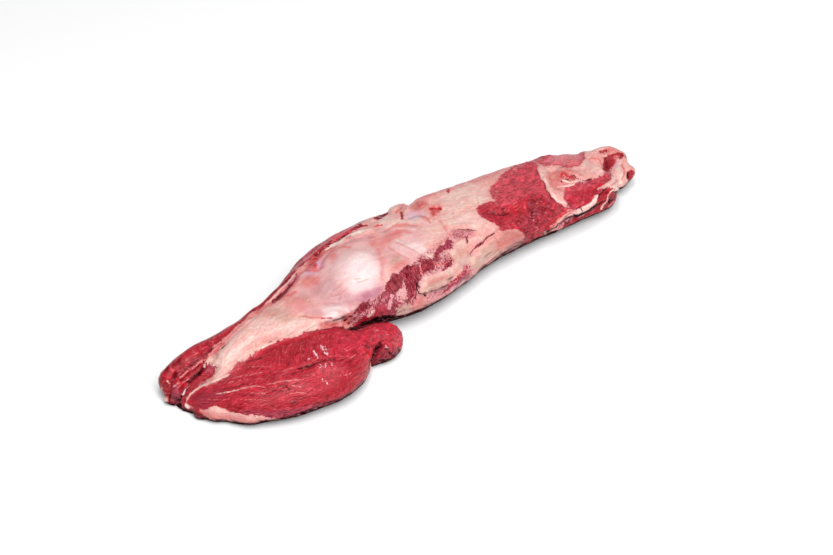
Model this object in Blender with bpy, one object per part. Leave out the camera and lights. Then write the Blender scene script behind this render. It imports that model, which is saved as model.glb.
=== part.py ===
"""A whole raw beef tenderloin, untrimmed, lying the way it rests on a flat surface.

The meat is one solid. Its places are written in millimetres in the meat's own axes:
along from the thick head end to the tail, across from the near side to the far side,
and up from the surface it lies on. Muscles are modelled as separate closed lobes,
which one union joins. The joined body is then remeshed, relaxed and given its
furrows, ridges and low swellings, and its underside is pressed flat.
"""
import bmesh
import bpy
import numpy as np
from mathutils import Vector
from mathutils import noise

MM = 0.001

# Driving sizes, in millimetres
SURFACE_STEP = 2.5        # spacing of the joined surface before it is thinned out
RING_POINTS = 28          # points round each lobe
SPAN_RINGS = 4            # rings between two stations of a lobe
CAP_RINGS = 4             # rings that round off each end of a lobe
SUNK = 3.0                # how far the lobes reach below the surface before pressing
PRESSED_HEIGHT = 1.3      # everything lower than this is pressed onto the surface
TRIANGLES = 11200         # triangles of the finished solid
WIDEST = 0.42             # height of the widest part of a slice, as a share of its top
SQUARENESS = 2.35         # shape of a slice: 2 is an ellipse, more is fuller at the corners
LOAF_CAP = 0.36           # reach of a loaf's rounded end, as a share of its width there
CAP_START = 0.6           # where the rings of a rounded end start, in steps between rings
RELAX_PASSES = 9          # smoothing that melts the lobes into each other
RELAX_FACTOR = 0.5        # how far a point moves to the middle of its neighbours in a pass
RELIEF_EASE = 1.5         # how softly a furrow or ridge runs out at its sides

MEAT_COLOUR = (0.36, 0.035, 0.05, 1.0)
MEAT_ROUGHNESS = 0.38

# Slices of the loaf-like muscles: along, near edge, far edge, top
MAIN_MUSCLE = [
    (24, 2, 44, 26),
    (55, -12, 50, 35),
    (90, -18, 49, 41),
    (130, -24, 54, 46),
    (170, -26, 63, 53),
    (205, -29, 75, 59),
    (240, -36, 80, 62),
    (270, -44, 84, 62),
    (300, -44, 83, 61),
    (340, -37, 80, 59),
    (380, -31, 76, 56),
    (415, -32, 72, 54),
    (455, -35, 66, 52),
    (490, -38, 60, 49),
    (520, -41, 53, 46),
    (543, -39, 46, 42),
    (567, -14, 38, 35),
]
WING = [
    (35, -33, 3, 23),
    (50, -56, 10, 31),
    (83, -77, 11, 39),
    (110, -85, 8, 43),
    (137, -90, 0, 45),
    (160, -85, -7, 45),
    (176, -76, -19, 42),
    (188, -66, -27, 39),
]
EAR = [
    (184, -65, -29, 37),
    (198, -68, -32, 39),
    (212, -71, -36, 38),
    (223, -66, -40, 32),
]

# Strands: along, across, up, half width, half height
FAR_BAND = [
    (23, 37, 15, 11, 13),
    (45, 37, 20, 14, 15),
    (90, 34, 23, 16, 15),
    (140, 38, 27, 15, 14),
    (180, 48, 30, 12, 12),
]
OUTER_FINGER = [(17, 25, 8, 8, 11), (42, 22, 20, 8, 12), (85, 22, 31, 7, 8)]
MIDDLE_FINGER = [(20, 7, 6, 8, 10), (45, 11, 21, 8, 12), (80, 13, 32, 7, 8)]
INNER_FINGER = [(25, -9, 6, 8, 9), (48, 0, 20, 7, 11), (70, 3, 32, 5, 7)]
FAT_WEDGE = [
    (70, 10, 38, 7, 5),
    (100, 14, 42, 14, 7),
    (135, 10, 43, 24, 8),
    (175, 4, 46, 28, 9),
    (215, 2, 46, 30, 9),
]
FAT_BRIDGE = [
    (84, 4, 32, 12, 8),
    (125, -2, 37, 16, 9),
    (155, -11, 38, 16, 9),
    (174, -18, 36, 11, 10),
    (188, -18, 37, 7, 9),
]
DOME = [(196, 14, 36, 34, 22), (235, 12, 38, 42, 28), (270, 8, 36, 36, 25)]
CHAIN = [
    (185, 62, 24, 8, 9),
    (215, 74, 28, 9, 12),
    (250, 78, 31, 9, 12),
    (285, 78, 32, 9, 12),
    (325, 76, 30, 8, 11),
]
FAT_TONGUE = [(284, -35, 34, 8, 7), (305, -32, 38, 9, 7), (332, -20, 46, 8, 6)]
FAT_ROLL = [(336, -28, 17, 9, 9), (370, -22, 23, 10, 11), (400, -23, 28, 10, 11), (418, -26, 27, 8, 8)]
TAIL_KNOB = [(556, 16, 29, 12, 11), (578, 14, 26, 12, 12), (587, 3, 25, 10, 10)]
TAIL_STUB = [(570, -14, 16, 10, 10), (588, -12, 16, 8, 9)]

# Relief along a path: half width, height (a furrow is below zero), places
WING_TOP_FURROW = (8, -2.8, [
    (40, -4, 27), (67, -6, 34), (89, -7, 37), (114, -9, 41), (131, -17, 42), (153, -22, 44), (176, -30, 42)])
WING_CREASE = (6, -1.8, [(93, -50, 43), (109, -55, 43), (126, -62, 43), (143, -70, 42), (158, -75, 38)])
NECK_FURROW = (7, -3.0, [(168, -26, 42), (184, -27, 38), (196, -30, 34)])
EAR_SLIT = (7, -3.5, [(198, -65, 28), (193, -66, 21), (189, -68, 14), (188, -68, 6)])
BAND_FURROW = (9, -4.0, [(12, 28, 14), (26, 27, 26), (48, 24, 34), (83, 29, 39), (116, 32, 44), (142, 44, 43)])
OUTER_CLEFT = (7, -4.5, [(10, 16, 6), (17, 16, 20), (34, 17, 29), (60, 18, 35)])
INNER_CLEFT = (8, -6.0, [(13, 4, 4), (19, 5, 16), (30, 6, 25), (52, 6, 33)])
CHAIN_FURROW = (9, -3.5, [(146, 40, 46), (184, 48, 51), (225, 58, 55), (260, 62, 55), (300, 66, 53)])
DOME_FOOT = (14, -2.5, [(150, 0, 52), (175, -6, 54), (192, -18, 52), (214, -26, 49), (232, -30, 46)])
DOME_RIGHT = (16, -1.8, [(268, 34, 62), (264, 12, 63), (254, -8, 61), (246, -22, 54)])
TONGUE_CREASE = (7, -3.0, [(312, -32, 44), (281, -33, 46), (271, -38, 40), (277, -42, 32), (306, -42, 25)])
ROLL_FURROW = (8, -2.6, [(312, -41, 32), (340, -36, 37), (375, -27, 42), (400, -22, 44), (418, -26, 38)])
RED_CREASE = (9, -2.5, [(396, -2, 53), (408, -7, 52), (420, -12, 49)])
STRIP_RIDGE = (9, 2.2, [(490, 40, 44), (488, 25, 49), (479, 3, 50), (468, -16, 46), (474, -31, 37)])
FLAP_FURROW = (9, -3.0, [(497, 12, 48), (484, -6, 48), (494, -20, 44), (513, -27, 39), (538, -22, 39)])
FLAP_RIDGE = (10, 2.0, [(506, 4, 47), (517, -18, 43), (540, -8, 41)])
CURL_RIDGE = (8, 3.0, [(462, -34, 30), (486, -37, 29), (500, -37, 31), (516, -38, 30), (529, -33, 36), (545, -31, 35)])
CURL_FURROW = (8, -3.0, [(470, -38, 18), (492, -40, 17), (510, -41, 18), (526, -41, 20), (541, -39, 22)])
WAVE_RIDGE = (7, 2.5, [(520, -42, 13), (526, -42, 22), (540, -39, 28), (556, -35, 27), (566, -28, 22)])
SINEW_RIDGE = (8, 3.0, [(566, -12, 35), (560, -26, 31), (563, -31, 20)])
CAVITY = (13, -8.0, [(556, 2, 40), (566, -2, 38)])
KNOB_HOLE = (7, -4.0, [(570, 13, 40), (573, 12, 40)])
FAR_NOTCHES = [
    (9, -3.0, [(286, 60, 56), (300, 76, 46)]),
    (9, -2.2, [(306, 58, 57), (322, 76, 44)]),
    (8, -3.0, [(340, 50, 57), (352, 72, 42)]),
    (9, -1.0, [(530, 40, 42), (538, 52, 30)]),
    (9, -2.0, [(546, 26, 42), (556, 40, 30)]),
]
FAR_LUMPS = [
    (14, 2.5, [(296, 70, 50), (300, 76, 44)]),
    (13, 2.5, [(330, 66, 50), (334, 72, 44)]),
    (15, 2.0, [(366, 58, 50), (390, 52, 50)]),
    (13, 2.0, [(518, 50, 38), (525, 46, 39)]),
]
RELIEF = [
    WING_TOP_FURROW, WING_CREASE, NECK_FURROW, EAR_SLIT, BAND_FURROW, OUTER_CLEFT, INNER_CLEFT,
    CHAIN_FURROW, DOME_FOOT,
    DOME_RIGHT, TONGUE_CREASE, ROLL_FURROW, RED_CREASE, STRIP_RIDGE, FLAP_FURROW, FLAP_RIDGE,
    CURL_RIDGE, CURL_FURROW, WAVE_RIDGE, SINEW_RIDGE, CAVITY, KNOB_HOLE, *FAR_NOTCHES, *FAR_LUMPS,
]

# Low uneven swellings all over: spacing and height
SWELLINGS = [(38, 1.6), (17, 0.8)]


def smooth_rows(rows, steps):
    """Rows read from a smooth curve through the given rows, with steps to each span."""
    rows = np.array(rows, float)
    ahead = np.vstack([2 * rows[0] - rows[1], rows, 2 * rows[-1] - rows[-2]])
    out = []
    for i in range(len(rows) - 1):
        p0, p1, p2, p3 = ahead[i:i + 4]
        for t in np.arange(steps) / steps:
            out.append(0.5 * (2 * p1 + (p2 - p0) * t + (2 * p0 - 5 * p1 + 4 * p2 - p3) * t ** 2
                              + (3 * p1 - p0 - 3 * p2 + p3) * t ** 3))
    out.append(rows[-1])
    return np.array(out)


def power(value, exponent):
    return np.sign(value) * np.abs(value) ** exponent


def with_caps(centres, tangents, rings, reach):
    """Rings along a lobe, with shrinking rings past both ends that round it off."""
    out = []
    angles = (np.arange(CAP_RINGS) + CAP_START) / (CAP_RINGS + 1 - CAP_START) * np.pi / 2
    for angle in angles[::-1]:
        out.append(centres[0] - tangents[0] * reach[0] * np.sin(angle) + rings[0] * np.cos(angle))
    for centre, ring in zip(centres, rings):
        out.append(centre + ring)
    for angle in angles:
        out.append(centres[-1] + tangents[-1] * reach[1] * np.sin(angle) + rings[-1] * np.cos(angle))
    return out


def loft(name, rings, collection):
    """A closed mesh object through the rings, given in millimetres."""
    bm = bmesh.new()
    loops = [[bm.verts.new(Vector(point) * MM) for point in ring] for ring in rings]
    count = len(loops[0])
    for low, high in zip(loops, loops[1:]):
        for i in range(count):
            j = (i + 1) % count
            bm.faces.new((low[i], low[j], high[j], high[i]))
    bm.faces.new(loops[0][::-1])
    bm.faces.new(loops[-1])
    bmesh.ops.recalc_face_normals(bm, faces=bm.faces)
    mesh = bpy.data.meshes.new(name)
    bm.to_mesh(mesh)
    bm.free()
    piece = bpy.data.objects.new(name, mesh)
    collection.objects.link(piece)
    return piece


def loaf(name, stations, collection):
    """A muscle that lies on the surface, from upright slices across the meat."""
    turn = np.arange(RING_POINTS) / RING_POINTS * 2 * np.pi
    centres, rings = [], []
    for along, near, far, top in smooth_rows(stations, SPAN_RINGS):
        widest = WIDEST * top
        centres.append(np.array([along, (near + far) / 2, widest]))
        across = (far - near) / 2 * power(np.cos(turn), 2 / SQUARENESS)
        upper = (top - widest) * power(np.sin(turn), 2 / SQUARENESS)
        lower = (widest + SUNK) * power(np.sin(turn), 2 / SQUARENESS)
        height = np.where(np.sin(turn) > 0, upper, lower)
        rings.append(np.stack([0 * turn, across, height], 1))
    tangents = [np.array([1.0, 0, 0])] * len(centres)
    reach = [LOAF_CAP * np.ptp(rings[i][:, 1]) for i in (0, -1)]
    return loft(name, with_caps(centres, tangents, rings, reach), collection)


def strand(name, stations, collection):
    """A lobe of oval section along a path, round at both ends."""
    turn = np.arange(RING_POINTS) / RING_POINTS * 2 * np.pi
    rows = smooth_rows(stations, SPAN_RINGS)
    centres = rows[:, :3]
    tangents = np.gradient(centres, axis=0)
    tangents /= np.linalg.norm(tangents, axis=1)[:, None]
    rings = []
    for tangent, (wide, high) in zip(tangents, rows[:, 3:5]):
        side = np.cross((0, 0, 1), tangent)
        side /= np.linalg.norm(side)
        up = np.cross(tangent, side)
        rings.append(np.outer(np.cos(turn) * wide, side) + np.outer(np.sin(turn) * high, up))
    reach = [rows[i, 3:5].mean() for i in (0, -1)]
    return loft(name, with_caps(centres, tangents, rings, reach), collection)


def evaluated_mesh(piece):
    graph = bpy.context.evaluated_depsgraph_get()
    return bpy.data.meshes.new_from_object(piece.evaluated_get(graph))


def apply_modifiers(piece):
    mesh = evaluated_mesh(piece)
    old = piece.data
    piece.modifiers.clear()
    piece.data = mesh
    bpy.data.meshes.remove(old)


def join_lobes(piece, collection):
    """Unites the first lobe with all the others and removes those."""
    union = piece.modifiers.new("union", "BOOLEAN")
    union.operation = "UNION"
    union.operand_type = "COLLECTION"
    union.collection = collection
    union.solver = "EXACT"
    apply_modifiers(piece)
    for other in list(collection.objects):
        bpy.data.objects.remove(other)
    bpy.data.collections.remove(collection)


def even_surface(piece):
    remesh = piece.modifiers.new("even surface", "REMESH")
    remesh.mode = "VOXEL"
    remesh.voxel_size = SURFACE_STEP * MM
    relax = piece.modifiers.new("relax", "SMOOTH")
    relax.factor = RELAX_FACTOR
    relax.iterations = RELAX_PASSES
    apply_modifiers(piece)


def read_points(mesh):
    points = np.empty(len(mesh.vertices) * 3)
    mesh.vertices.foreach_get("co", points)
    normals = np.empty(len(mesh.vertices) * 3)
    mesh.vertices.foreach_get("normal", normals)
    return points.reshape(-1, 3) / MM, normals.reshape(-1, 3)


def write_points(mesh, points):
    mesh.vertices.foreach_set("co", (points * MM).ravel())
    mesh.update()


def distance_to_path(points, path):
    """Distance of each point to the nearest place on a path of straight steps."""
    path = np.array(path, float)
    nearest = np.full(len(points), np.inf)
    for start, end in zip(path, path[1:]):
        step = end - start
        share = np.clip((points - start) @ step / (step @ step), 0, 1)
        nearest = np.minimum(nearest, np.linalg.norm(points - start - share[:, None] * step, axis=1))
    return nearest


def add_relief(mesh):
    """Raises the ridges and sinks the furrows, then adds the low swellings."""
    for half_width, height, path in RELIEF:
        points, normals = read_points(mesh)
        near = np.clip(1 - (distance_to_path(points, path) / half_width) ** 2, 0, 1)
        write_points(mesh, points + normals * (height * near ** RELIEF_EASE)[:, None])
    points, normals = read_points(mesh)
    for spacing, height in SWELLINGS:
        lift = np.array([noise.noise(Vector(point) / spacing) for point in points])
        points = points + normals * (lift * height)[:, None]
    write_points(mesh, points)


def press_flat(mesh):
    """Presses the underside onto the surface, so that it has a true flat face."""
    points, _ = read_points(mesh)
    points[points[:, 2] < PRESSED_HEIGHT, 2] = 0.0
    write_points(mesh, points)


def thin_out(piece):
    """Fewer triangles, with the shape kept."""
    even = piece.modifiers.new("triangles", "TRIANGULATE")
    even.quad_method = "BEAUTY"
    apply_modifiers(piece)
    thin = piece.modifiers.new("thin out", "DECIMATE")
    thin.ratio = TRIANGLES / len(piece.data.polygons)
    apply_modifiers(piece)
    press_flat(piece.data)


def centre_on_base(mesh):
    """Moves the meat so that its origin is under the middle of its box."""
    points, _ = read_points(mesh)
    low, high = points.min(0), points.max(0)
    write_points(mesh, points - np.array([(low[0] + high[0]) / 2, (low[1] + high[1]) / 2, low[2]]))


def meat_material():
    material = bpy.data.materials.new("raw meat")
    material.use_nodes = True
    shader = material.node_tree.nodes["Principled BSDF"]
    shader.inputs["Base Color"].default_value = MEAT_COLOUR
    shader.inputs["Roughness"].default_value = MEAT_ROUGHNESS
    shader.inputs["Metallic"].default_value = 0.0
    return material


def main():
    for old in list(bpy.data.objects):
        bpy.data.objects.remove(old)
    collection = bpy.data.collections.new("lobes")
    bpy.context.scene.collection.children.link(collection)
    loaf("wing", WING, collection)
    loaf("ear", EAR, collection)
    strands = {
        "far band": FAR_BAND,
        "outer finger": OUTER_FINGER,
        "middle finger": MIDDLE_FINGER,
        "inner finger": INNER_FINGER,
        "fat wedge": FAT_WEDGE,
        "fat bridge": FAT_BRIDGE,
        "dome": DOME,
        "chain": CHAIN,
        "fat tongue": FAT_TONGUE,
        "fat roll": FAT_ROLL,
        "tail knob": TAIL_KNOB,
        "tail stub": TAIL_STUB,
    }
    for name, stations in strands.items():
        strand(name, stations, collection)
    meat = loaf("tenderloin", MAIN_MUSCLE, bpy.context.scene.collection)
    join_lobes(meat, collection)
    even_surface(meat)
    add_relief(meat.data)
    press_flat(meat.data)
    thin_out(meat)
    centre_on_base(meat.data)
    meat.data.materials.clear()
    meat.data.materials.append(meat_material())
    meat.data.shade_smooth()
    return meat


main()
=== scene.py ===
"""The looks of a whole raw beef tenderloin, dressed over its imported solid.

The solid's surface is remeshed finely, carved with creases, fibres and fat lumps, and
painted point by point. Paint and carving are laid on a chart: the surface as the fixed
camera sees it, in pixels of an 833 x 555 picture, where one pixel is about a millimetre
of meat. What the camera doesn't see has rules of its own, in the meat's own axes.
Every point has two coats, muscle and fat, and a share of fat. The material tears the
border between them into fringes, so paint stays simple and edges stay ragged.
"""

import bpy
import numpy as np
from mathutils import Matrix
from mathutils import Vector
from mathutils import noise
from mathutils.bvhtree import BVHTree


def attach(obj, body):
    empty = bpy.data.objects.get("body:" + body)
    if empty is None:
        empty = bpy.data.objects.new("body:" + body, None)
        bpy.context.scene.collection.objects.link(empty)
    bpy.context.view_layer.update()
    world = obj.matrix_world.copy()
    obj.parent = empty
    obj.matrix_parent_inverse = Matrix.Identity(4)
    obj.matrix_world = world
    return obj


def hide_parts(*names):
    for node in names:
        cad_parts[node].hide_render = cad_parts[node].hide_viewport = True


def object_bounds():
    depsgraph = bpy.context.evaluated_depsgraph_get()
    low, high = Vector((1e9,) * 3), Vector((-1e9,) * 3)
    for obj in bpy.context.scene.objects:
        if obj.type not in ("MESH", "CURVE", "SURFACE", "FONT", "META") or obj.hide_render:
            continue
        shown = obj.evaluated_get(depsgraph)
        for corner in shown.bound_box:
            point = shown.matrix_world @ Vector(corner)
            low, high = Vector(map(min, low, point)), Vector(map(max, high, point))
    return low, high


MM = 0.001

# The camera, in metres in the part's frame, and the picture it makes
CAMERA_PLACE = Vector((-1.1416, -1.3259, 1.4473))
CAMERA_AIM = Vector((0.0119, 0.0162, 0.0))
PICTURE = (833, 555)
FOCAL_PIXELS = 2250.4
SENSOR_WIDTH = 36.0

# The surface, in millimetres
SURFACE_STEP = 1.25       # spacing of the points
RELAX_PASSES = 8          # smoothing that melts the solid's facets
RELAX_FACTOR = 0.5
RAY_START = 1.5           # a ray towards the meat itself starts this far off the surface
CLEAR_RAY = 100.0         # a ray this long from a point clears the meat
CONTACT_SHADE_HEIGHT = 6.0      # painted shade darkens the meat below this height, towards what it lies on
CREVICE_SHADE_DEPTH = 18.0      # painted shade darkens the meat where it faces itself closer than this
HIDDEN_SHARE = 0.3        # share of the triangles kept on the underside and the far side
AWAY_SHARE = 0.15         # a surface turned this far from the camera counts as the far side
BASE_TOP = 0.6            # the flat underside's triangles reach up to this height
GRAIN_AXIS_HEIGHT = 22.0  # the body's fibres run round an axis at this height
GRAIN_RADIUS = 45.0       # and about this far from it

# Edges of painted fields wander by noise: spacing and reach in millimetres
WANDER = [(9.0, 2.0), (3.2, 1.2)]
LINE_WANDER = 0.4         # lines wander less, by this share of it

# Fibres wander by noise of this scale, this far along and across them in millimetres
FIBRE_WOBBLE_SCALE = 0.11
FIBRE_WOBBLE = (14, 9, 0)

# Heights of the fine relief, in millimetres
FIBRE_RELIEF = 0.5
MOTTLED_RELIEF = 0.3      # added where the muscle is mottled
LUMP_RELIEF = 0.35
CRUMPLE_RELIEF = 0.3
FILM_RELIEF = 0.15

# What the camera doesn't see, in millimetres: fat gathers between a start and an end along the
# meat, and the front lobe's back stays bare round its own middle. Each pair is a soft step
HIDDEN_FAT_START = (-170, -90)
HIDDEN_FAT_END = (150, 220)
LOBE_BACK_MIDDLE = -95.0
LOBE_BACK_REACH = (45, 60)
LOBE_BACK_SIDE = (-25, -15)
LOBE_BACK_BASE = (12, 20)

# The light on the meat is stronger than the inks are meant for, so they are weakened
INK_STRENGTH = 0.81

# Painted shade: what is left of red, green and blue where the meat meets the floor, and deep in a crevice
CONTACT_SHADE_TINT = (0.2, 0.08, 0.08)
CREVICE_SHADE_TINT = (0.4, 0.18, 0.2)

# Lights that aim at the middle: name, place and size in metres, and watts
LIGHTS = [
    ("softbox", (-0.5, -1.0, 2.2), 1.8, 45),
    ("spark", (0.0, 0.0, 2.0), 0.3, 5),
    ("near_fill", (-0.1, -1.9, 1.1), 1.2, 16),
]
WORLD_STRENGTH = 0.46

# The floor, in metres
FLOOR_HALF = 6.0
FLOOR_DROP = 0.0003       # keeps it clear of the underside
FLOOR_COLOUR = (0.94, 0.94, 0.945, 1)

# Muscle: red, green, blue (0 to 255)
LEAN_INKS = {
    "muscle": (188, 26, 47),
    "crimson": (198, 32, 56),
    "bright muscle": (204, 66, 80),
    "pale muscle": (240, 122, 132),
    "deep muscle": (168, 10, 32),
    "dark muscle": (136, 22, 40),
    "violet muscle": (156, 48, 70),
    # Painted shade: the cleft ink darkens clefts and creases, and the nearly black hollow ink fills the
    # deepest gaps
    "cleft": (84, 10, 20),
    "hollow": (30, 3, 6),
    "blood": (208, 22, 36),
}

# Fat and silver skin: red, green, blue, and how much it is silver skin
FAT_INKS = {
    "pale cream": (247, 207, 198, 0.0),
    "cream": (242, 197, 188, 0.0),
    "buff": (204, 160, 146, 0.0),
    "pink fat": (242, 178, 171, 0.1),
    "strip fat": (230, 132, 132, 0.1),
    "rosy fat": (224, 124, 120, 0.1),
    "salmon": (196, 114, 106, 0.1),
    "blush": (214, 84, 86, 0.1),
    "film": (228, 168, 168, 0.8),
    # Pale film is also the painted highlight on the dome
    "pale film": (250, 228, 227, 1.0),
    # Grey film also paints a shadow line along a crease on the dome
    "grey film": (212, 182, 190, 1.0),
    "dim film": (196, 142, 146, 0.7),
    "violet film": (184, 110, 130, 1.0),
    "lilac film": (226, 168, 190, 1.0),
    "sinew": (252, 224, 214, 0.6),
    # Painted highlight on wet meat, laid as silver skin
    "glint": (248, 196, 204, 1.0),
    "veil": (222, 154, 158, 0.4),
}

# Muscle and fat that show through each other, and the share of fat
MIXED_INKS = {
    "marbled": ("violet muscle", "veil", 0.5),
    "fringe": ("bright muscle", "pink fat", 0.5),
    "serrated": ("muscle", "strip fat", 0.6),
    "streak": ("muscle", "strip fat", 0.75),
    "veined fat": ("muscle", "buff", 0.62),
}

# Fields of the chart: ink, strength, softness of the edge, outline. Later ones lie on top
HEAD_FIELDS = [
    ("deep muscle", 1.0, 3, [
        (150, 402), (150, 385), (160, 362), (178, 344), (200, 332), (225, 319), (245, 306), (257, 298),
        (252, 314), (241, 322), (234, 329), (228, 335), (221, 343), (213, 352), (206, 358), (205, 362),
        (212, 362), (219, 365), (216, 372), (208, 379), (197, 387), (188, 395), (186, 405), (196, 414),
        (212, 422), (180, 424), (160, 415)]),
    ("muscle", 0.7, 6, [
        (166, 372), (176, 358), (190, 349), (206, 341), (220, 333), (234, 324), (232, 329), (216, 339),
        (200, 349), (184, 360), (174, 370)]),
    ("dark muscle", 0.6, 5, [
        (190, 362), (206, 352), (218, 343), (228, 336), (228, 340), (217, 349), (207, 357), (196, 364)]),
    ("dark muscle", 0.6, 5, [
        (156, 372), (166, 360), (180, 348), (196, 338), (200, 340), (184, 350), (172, 362)]),
    ("muscle", 0.4, 3, [(202, 367), (209, 364), (219, 365), (215, 372), (208, 378), (203, 375)]),
    ("violet muscle", 0.7, 4, [(203, 368), (210, 363), (220, 365), (216, 371), (207, 374)]),
    ("muscle", 0.6, 4, [(190, 376), (198, 372), (200, 380), (192, 386), (188, 384)]),
    ("violet muscle", 0.9, 3, [(172, 384), (179, 385), (179, 397), (176, 405), (172, 402)]),
    ("muscle", 0.8, 3, [(165, 376), (173, 374), (174, 382), (168, 385)]),
    ("pink fat", 0.7, 4, [(158, 388), (162, 386), (164, 393), (169, 400), (166, 403), (160, 397)]),
    ("dark muscle", 0.8, 4, [(172, 404), (184, 406), (198, 412), (212, 419), (200, 424), (176, 414)]),
]
COVER_FIELDS = [
    ("pink fat", 1.0, 3, [
        (209, 356), (214, 347), (222, 340), (230, 333), (240, 324), (250, 316), (258, 309), (266, 303),
        (280, 289), (296, 271), (308, 260), (320, 251), (326, 245), (342, 236), (358, 229), (371, 215),
        (385, 195), (450, 170), (520, 150), (514, 168), (500, 177), (492, 186), (490, 193), (495, 202),
        (480, 204), (475, 208), (480, 215), (490, 220), (498, 225), (502, 230), (515, 228), (524, 233),
        (526, 238), (520, 246), (500, 262), (470, 290), (440, 310), (410, 324), (380, 324), (350, 334),
        (330, 327), (314, 331), (296, 336), (278, 341), (265, 347), (254, 353), (245, 359), (235, 365),
        (228, 373), (220, 379), (205, 386), (219, 367), (217, 364), (209, 363)]),
    ("strip fat", 0.9, 4, [
        (208, 357), (212, 348), (222, 340), (232, 332), (242, 323), (252, 314), (262, 306), (268, 304),
        (262, 311), (252, 319), (243, 328), (233, 337), (223, 346), (215, 354)]),
    ("serrated", 0.7, 4, [(250, 316), (262, 304), (272, 301), (268, 308), (258, 315), (248, 322)]),
    ("pink fat", 0.35, 5, [
        (228, 340), (238, 330), (248, 321), (256, 314), (252, 322), (242, 332), (232, 340)]),
    ("cream", 1.0, 6, [
        (222, 377), (233, 366), (248, 357), (265, 346), (285, 338), (308, 332), (334, 325), (318, 320),
        (298, 317), (283, 318), (268, 315), (256, 319), (246, 327), (236, 336), (222, 348), (211, 360),
        (218, 364), (219, 368), (214, 376)]),
    ("pale cream", 0.9, 8, [
        (208, 364), (218, 355), (230, 345), (246, 334), (254, 322), (268, 318), (262, 330), (254, 340),
        (242, 350), (230, 362), (220, 374), (214, 378), (219, 368)]),
    ("pale cream", 0.8, 6, [(290, 322), (304, 318), (324, 321), (322, 327), (304, 332), (290, 332)]),
    ("buff", 0.6, 7, [(274, 308), (288, 306), (292, 314), (286, 322), (274, 320), (266, 314)]),
    ("pink fat", 0.8, 8, [
        (254, 340), (270, 332), (288, 332), (282, 338), (266, 346), (250, 352), (244, 350)]),
    ("pale cream", 0.6, 8, [(256, 324), (268, 318), (280, 320), (284, 328), (272, 332), (260, 333)]),
    ("rosy fat", 0.8, 5, [(318, 323), (330, 321), (340, 324), (336, 328), (318, 329)]),
    ("blush", 0.7, 4, [(326, 321), (338, 322), (342, 326), (330, 326)]),
]
DOME_FIELDS = [
    ("film", 1.0, 8, [
        (288, 312), (294, 300), (298, 286), (304, 272), (316, 266), (326, 254), (340, 246), (358, 238),
        (374, 240), (381, 254), (384, 272), (382, 288), (372, 299), (360, 305), (352, 314), (336, 322),
        (318, 316), (300, 314)]),
    ("pale film", 0.25, 10, [(322, 270), (334, 258), (348, 250), (340, 276), (334, 296), (322, 290)]),
    # Painted highlight on the dome's silver skin: a broad soft one, then its bright core
    ("pale film", 0.8, 24, [
        (338, 268), (346, 256), (358, 250), (372, 253), (382, 264), (382, 280), (370, 292), (352, 292),
        (341, 282)]),
    ("pale film", 1.0, 12, [
        (350, 264), (356, 257), (368, 256), (376, 264), (375, 275), (364, 279), (352, 276)]),
    ("rosy fat", 0.8, 7, [(301, 279), (308, 275), (318, 278), (318, 285), (308, 288), (301, 286)]),
    ("lilac film", 0.8, 5, [(302, 270), (314, 269), (316, 275), (304, 277)]),
    ("rosy fat", 0.45, 10, [(280, 300), (290, 292), (304, 296), (312, 303), (306, 312), (290, 310)]),
    ("buff", 0.5, 6, [(304, 296), (314, 300), (312, 306), (304, 304)]),
    ("film", 0.8, 10, [(318, 292), (336, 290), (352, 293), (362, 298), (346, 305), (326, 305)]),
    ("pale film", 0.8, 9, [(322, 308), (336, 304), (352, 307), (354, 316), (340, 323), (326, 319)]),
    ("film", 0.6, 4, [(336, 312), (344, 310), (350, 313), (346, 317), (338, 316)]),
    # Painted shadow line along the crease below the pale lump
    ("grey film", 0.6, 4, [(328, 302), (340, 302), (346, 305), (340, 307), (329, 306)]),
    ("violet film", 0.9, 9, [(354, 300), (366, 291), (384, 286), (380, 299), (364, 306)]),
    ("violet film", 0.3, 9, [(340, 298), (356, 296), (362, 304), (352, 308)]),
    ("dim film", 0.55, 10, [
        (312, 290), (324, 278), (334, 276), (340, 288), (354, 295), (352, 303), (334, 304), (318, 302)]),
    ("rosy fat", 0.35, 9, [(366, 236), (384, 232), (398, 236), (392, 246), (378, 252), (370, 244)]),
    ("rosy fat", 0.7, 6, [(328, 256), (334, 252), (338, 257), (332, 262)]),
    ("blush", 0.8, 6, [
        (305, 266), (312, 257), (322, 250), (330, 244), (333, 248), (324, 254), (319, 262), (318, 269),
        (308, 270)]),
    ("blood", 0.6, 5, [(308, 266), (313, 259), (320, 254), (320, 262), (318, 268)]),
    ("lilac film", 0.9, 3, [(316, 262), (321, 258), (322, 265), (318, 267)]),
    ("serrated", 0.9, 4, [
        (342, 322), (344, 316), (351, 312), (358, 312), (357, 320), (350, 326), (342, 326)]),
]
CHAIN_FIELDS = [
    ("deep muscle", 1.0, 2, [
        (244, 312), (256, 297), (268, 284), (277, 274), (286, 262), (298, 250), (306, 256), (304, 264),
        (297, 272), (291, 281), (283, 289), (276, 297), (268, 304), (257, 309)]),
    ("strip fat", 1.0, 3, [
        (263, 308), (270, 299), (279, 291), (286, 284), (292, 277), (299, 268), (303, 270), (298, 282),
        (290, 292), (280, 300), (270, 307)]),
    ("bright muscle", 1.0, 2.5, [
        (304, 262), (302, 248), (314, 234), (326, 224), (349, 216), (352, 229), (350, 237), (340, 241),
        (331, 246), (322, 251), (316, 256), (308, 262)]),
    ("violet muscle", 0.5, 4, [
        (302, 252), (314, 238), (327, 228), (349, 219), (350, 225), (331, 233), (318, 244), (308, 257)]),
    ("streak", 0.6, 3, [
        (320, 248), (328, 242), (338, 237), (348, 233), (350, 237), (340, 241), (330, 246)]),
    ("deep muscle", 0.8, 3, [(308, 256), (316, 248), (326, 240), (328, 243), (320, 249), (313, 256)]),
    ("strip fat", 0.5, 4, [
        (306, 252), (316, 241), (330, 231), (340, 227), (342, 231), (328, 238), (314, 249)]),
]
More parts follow.
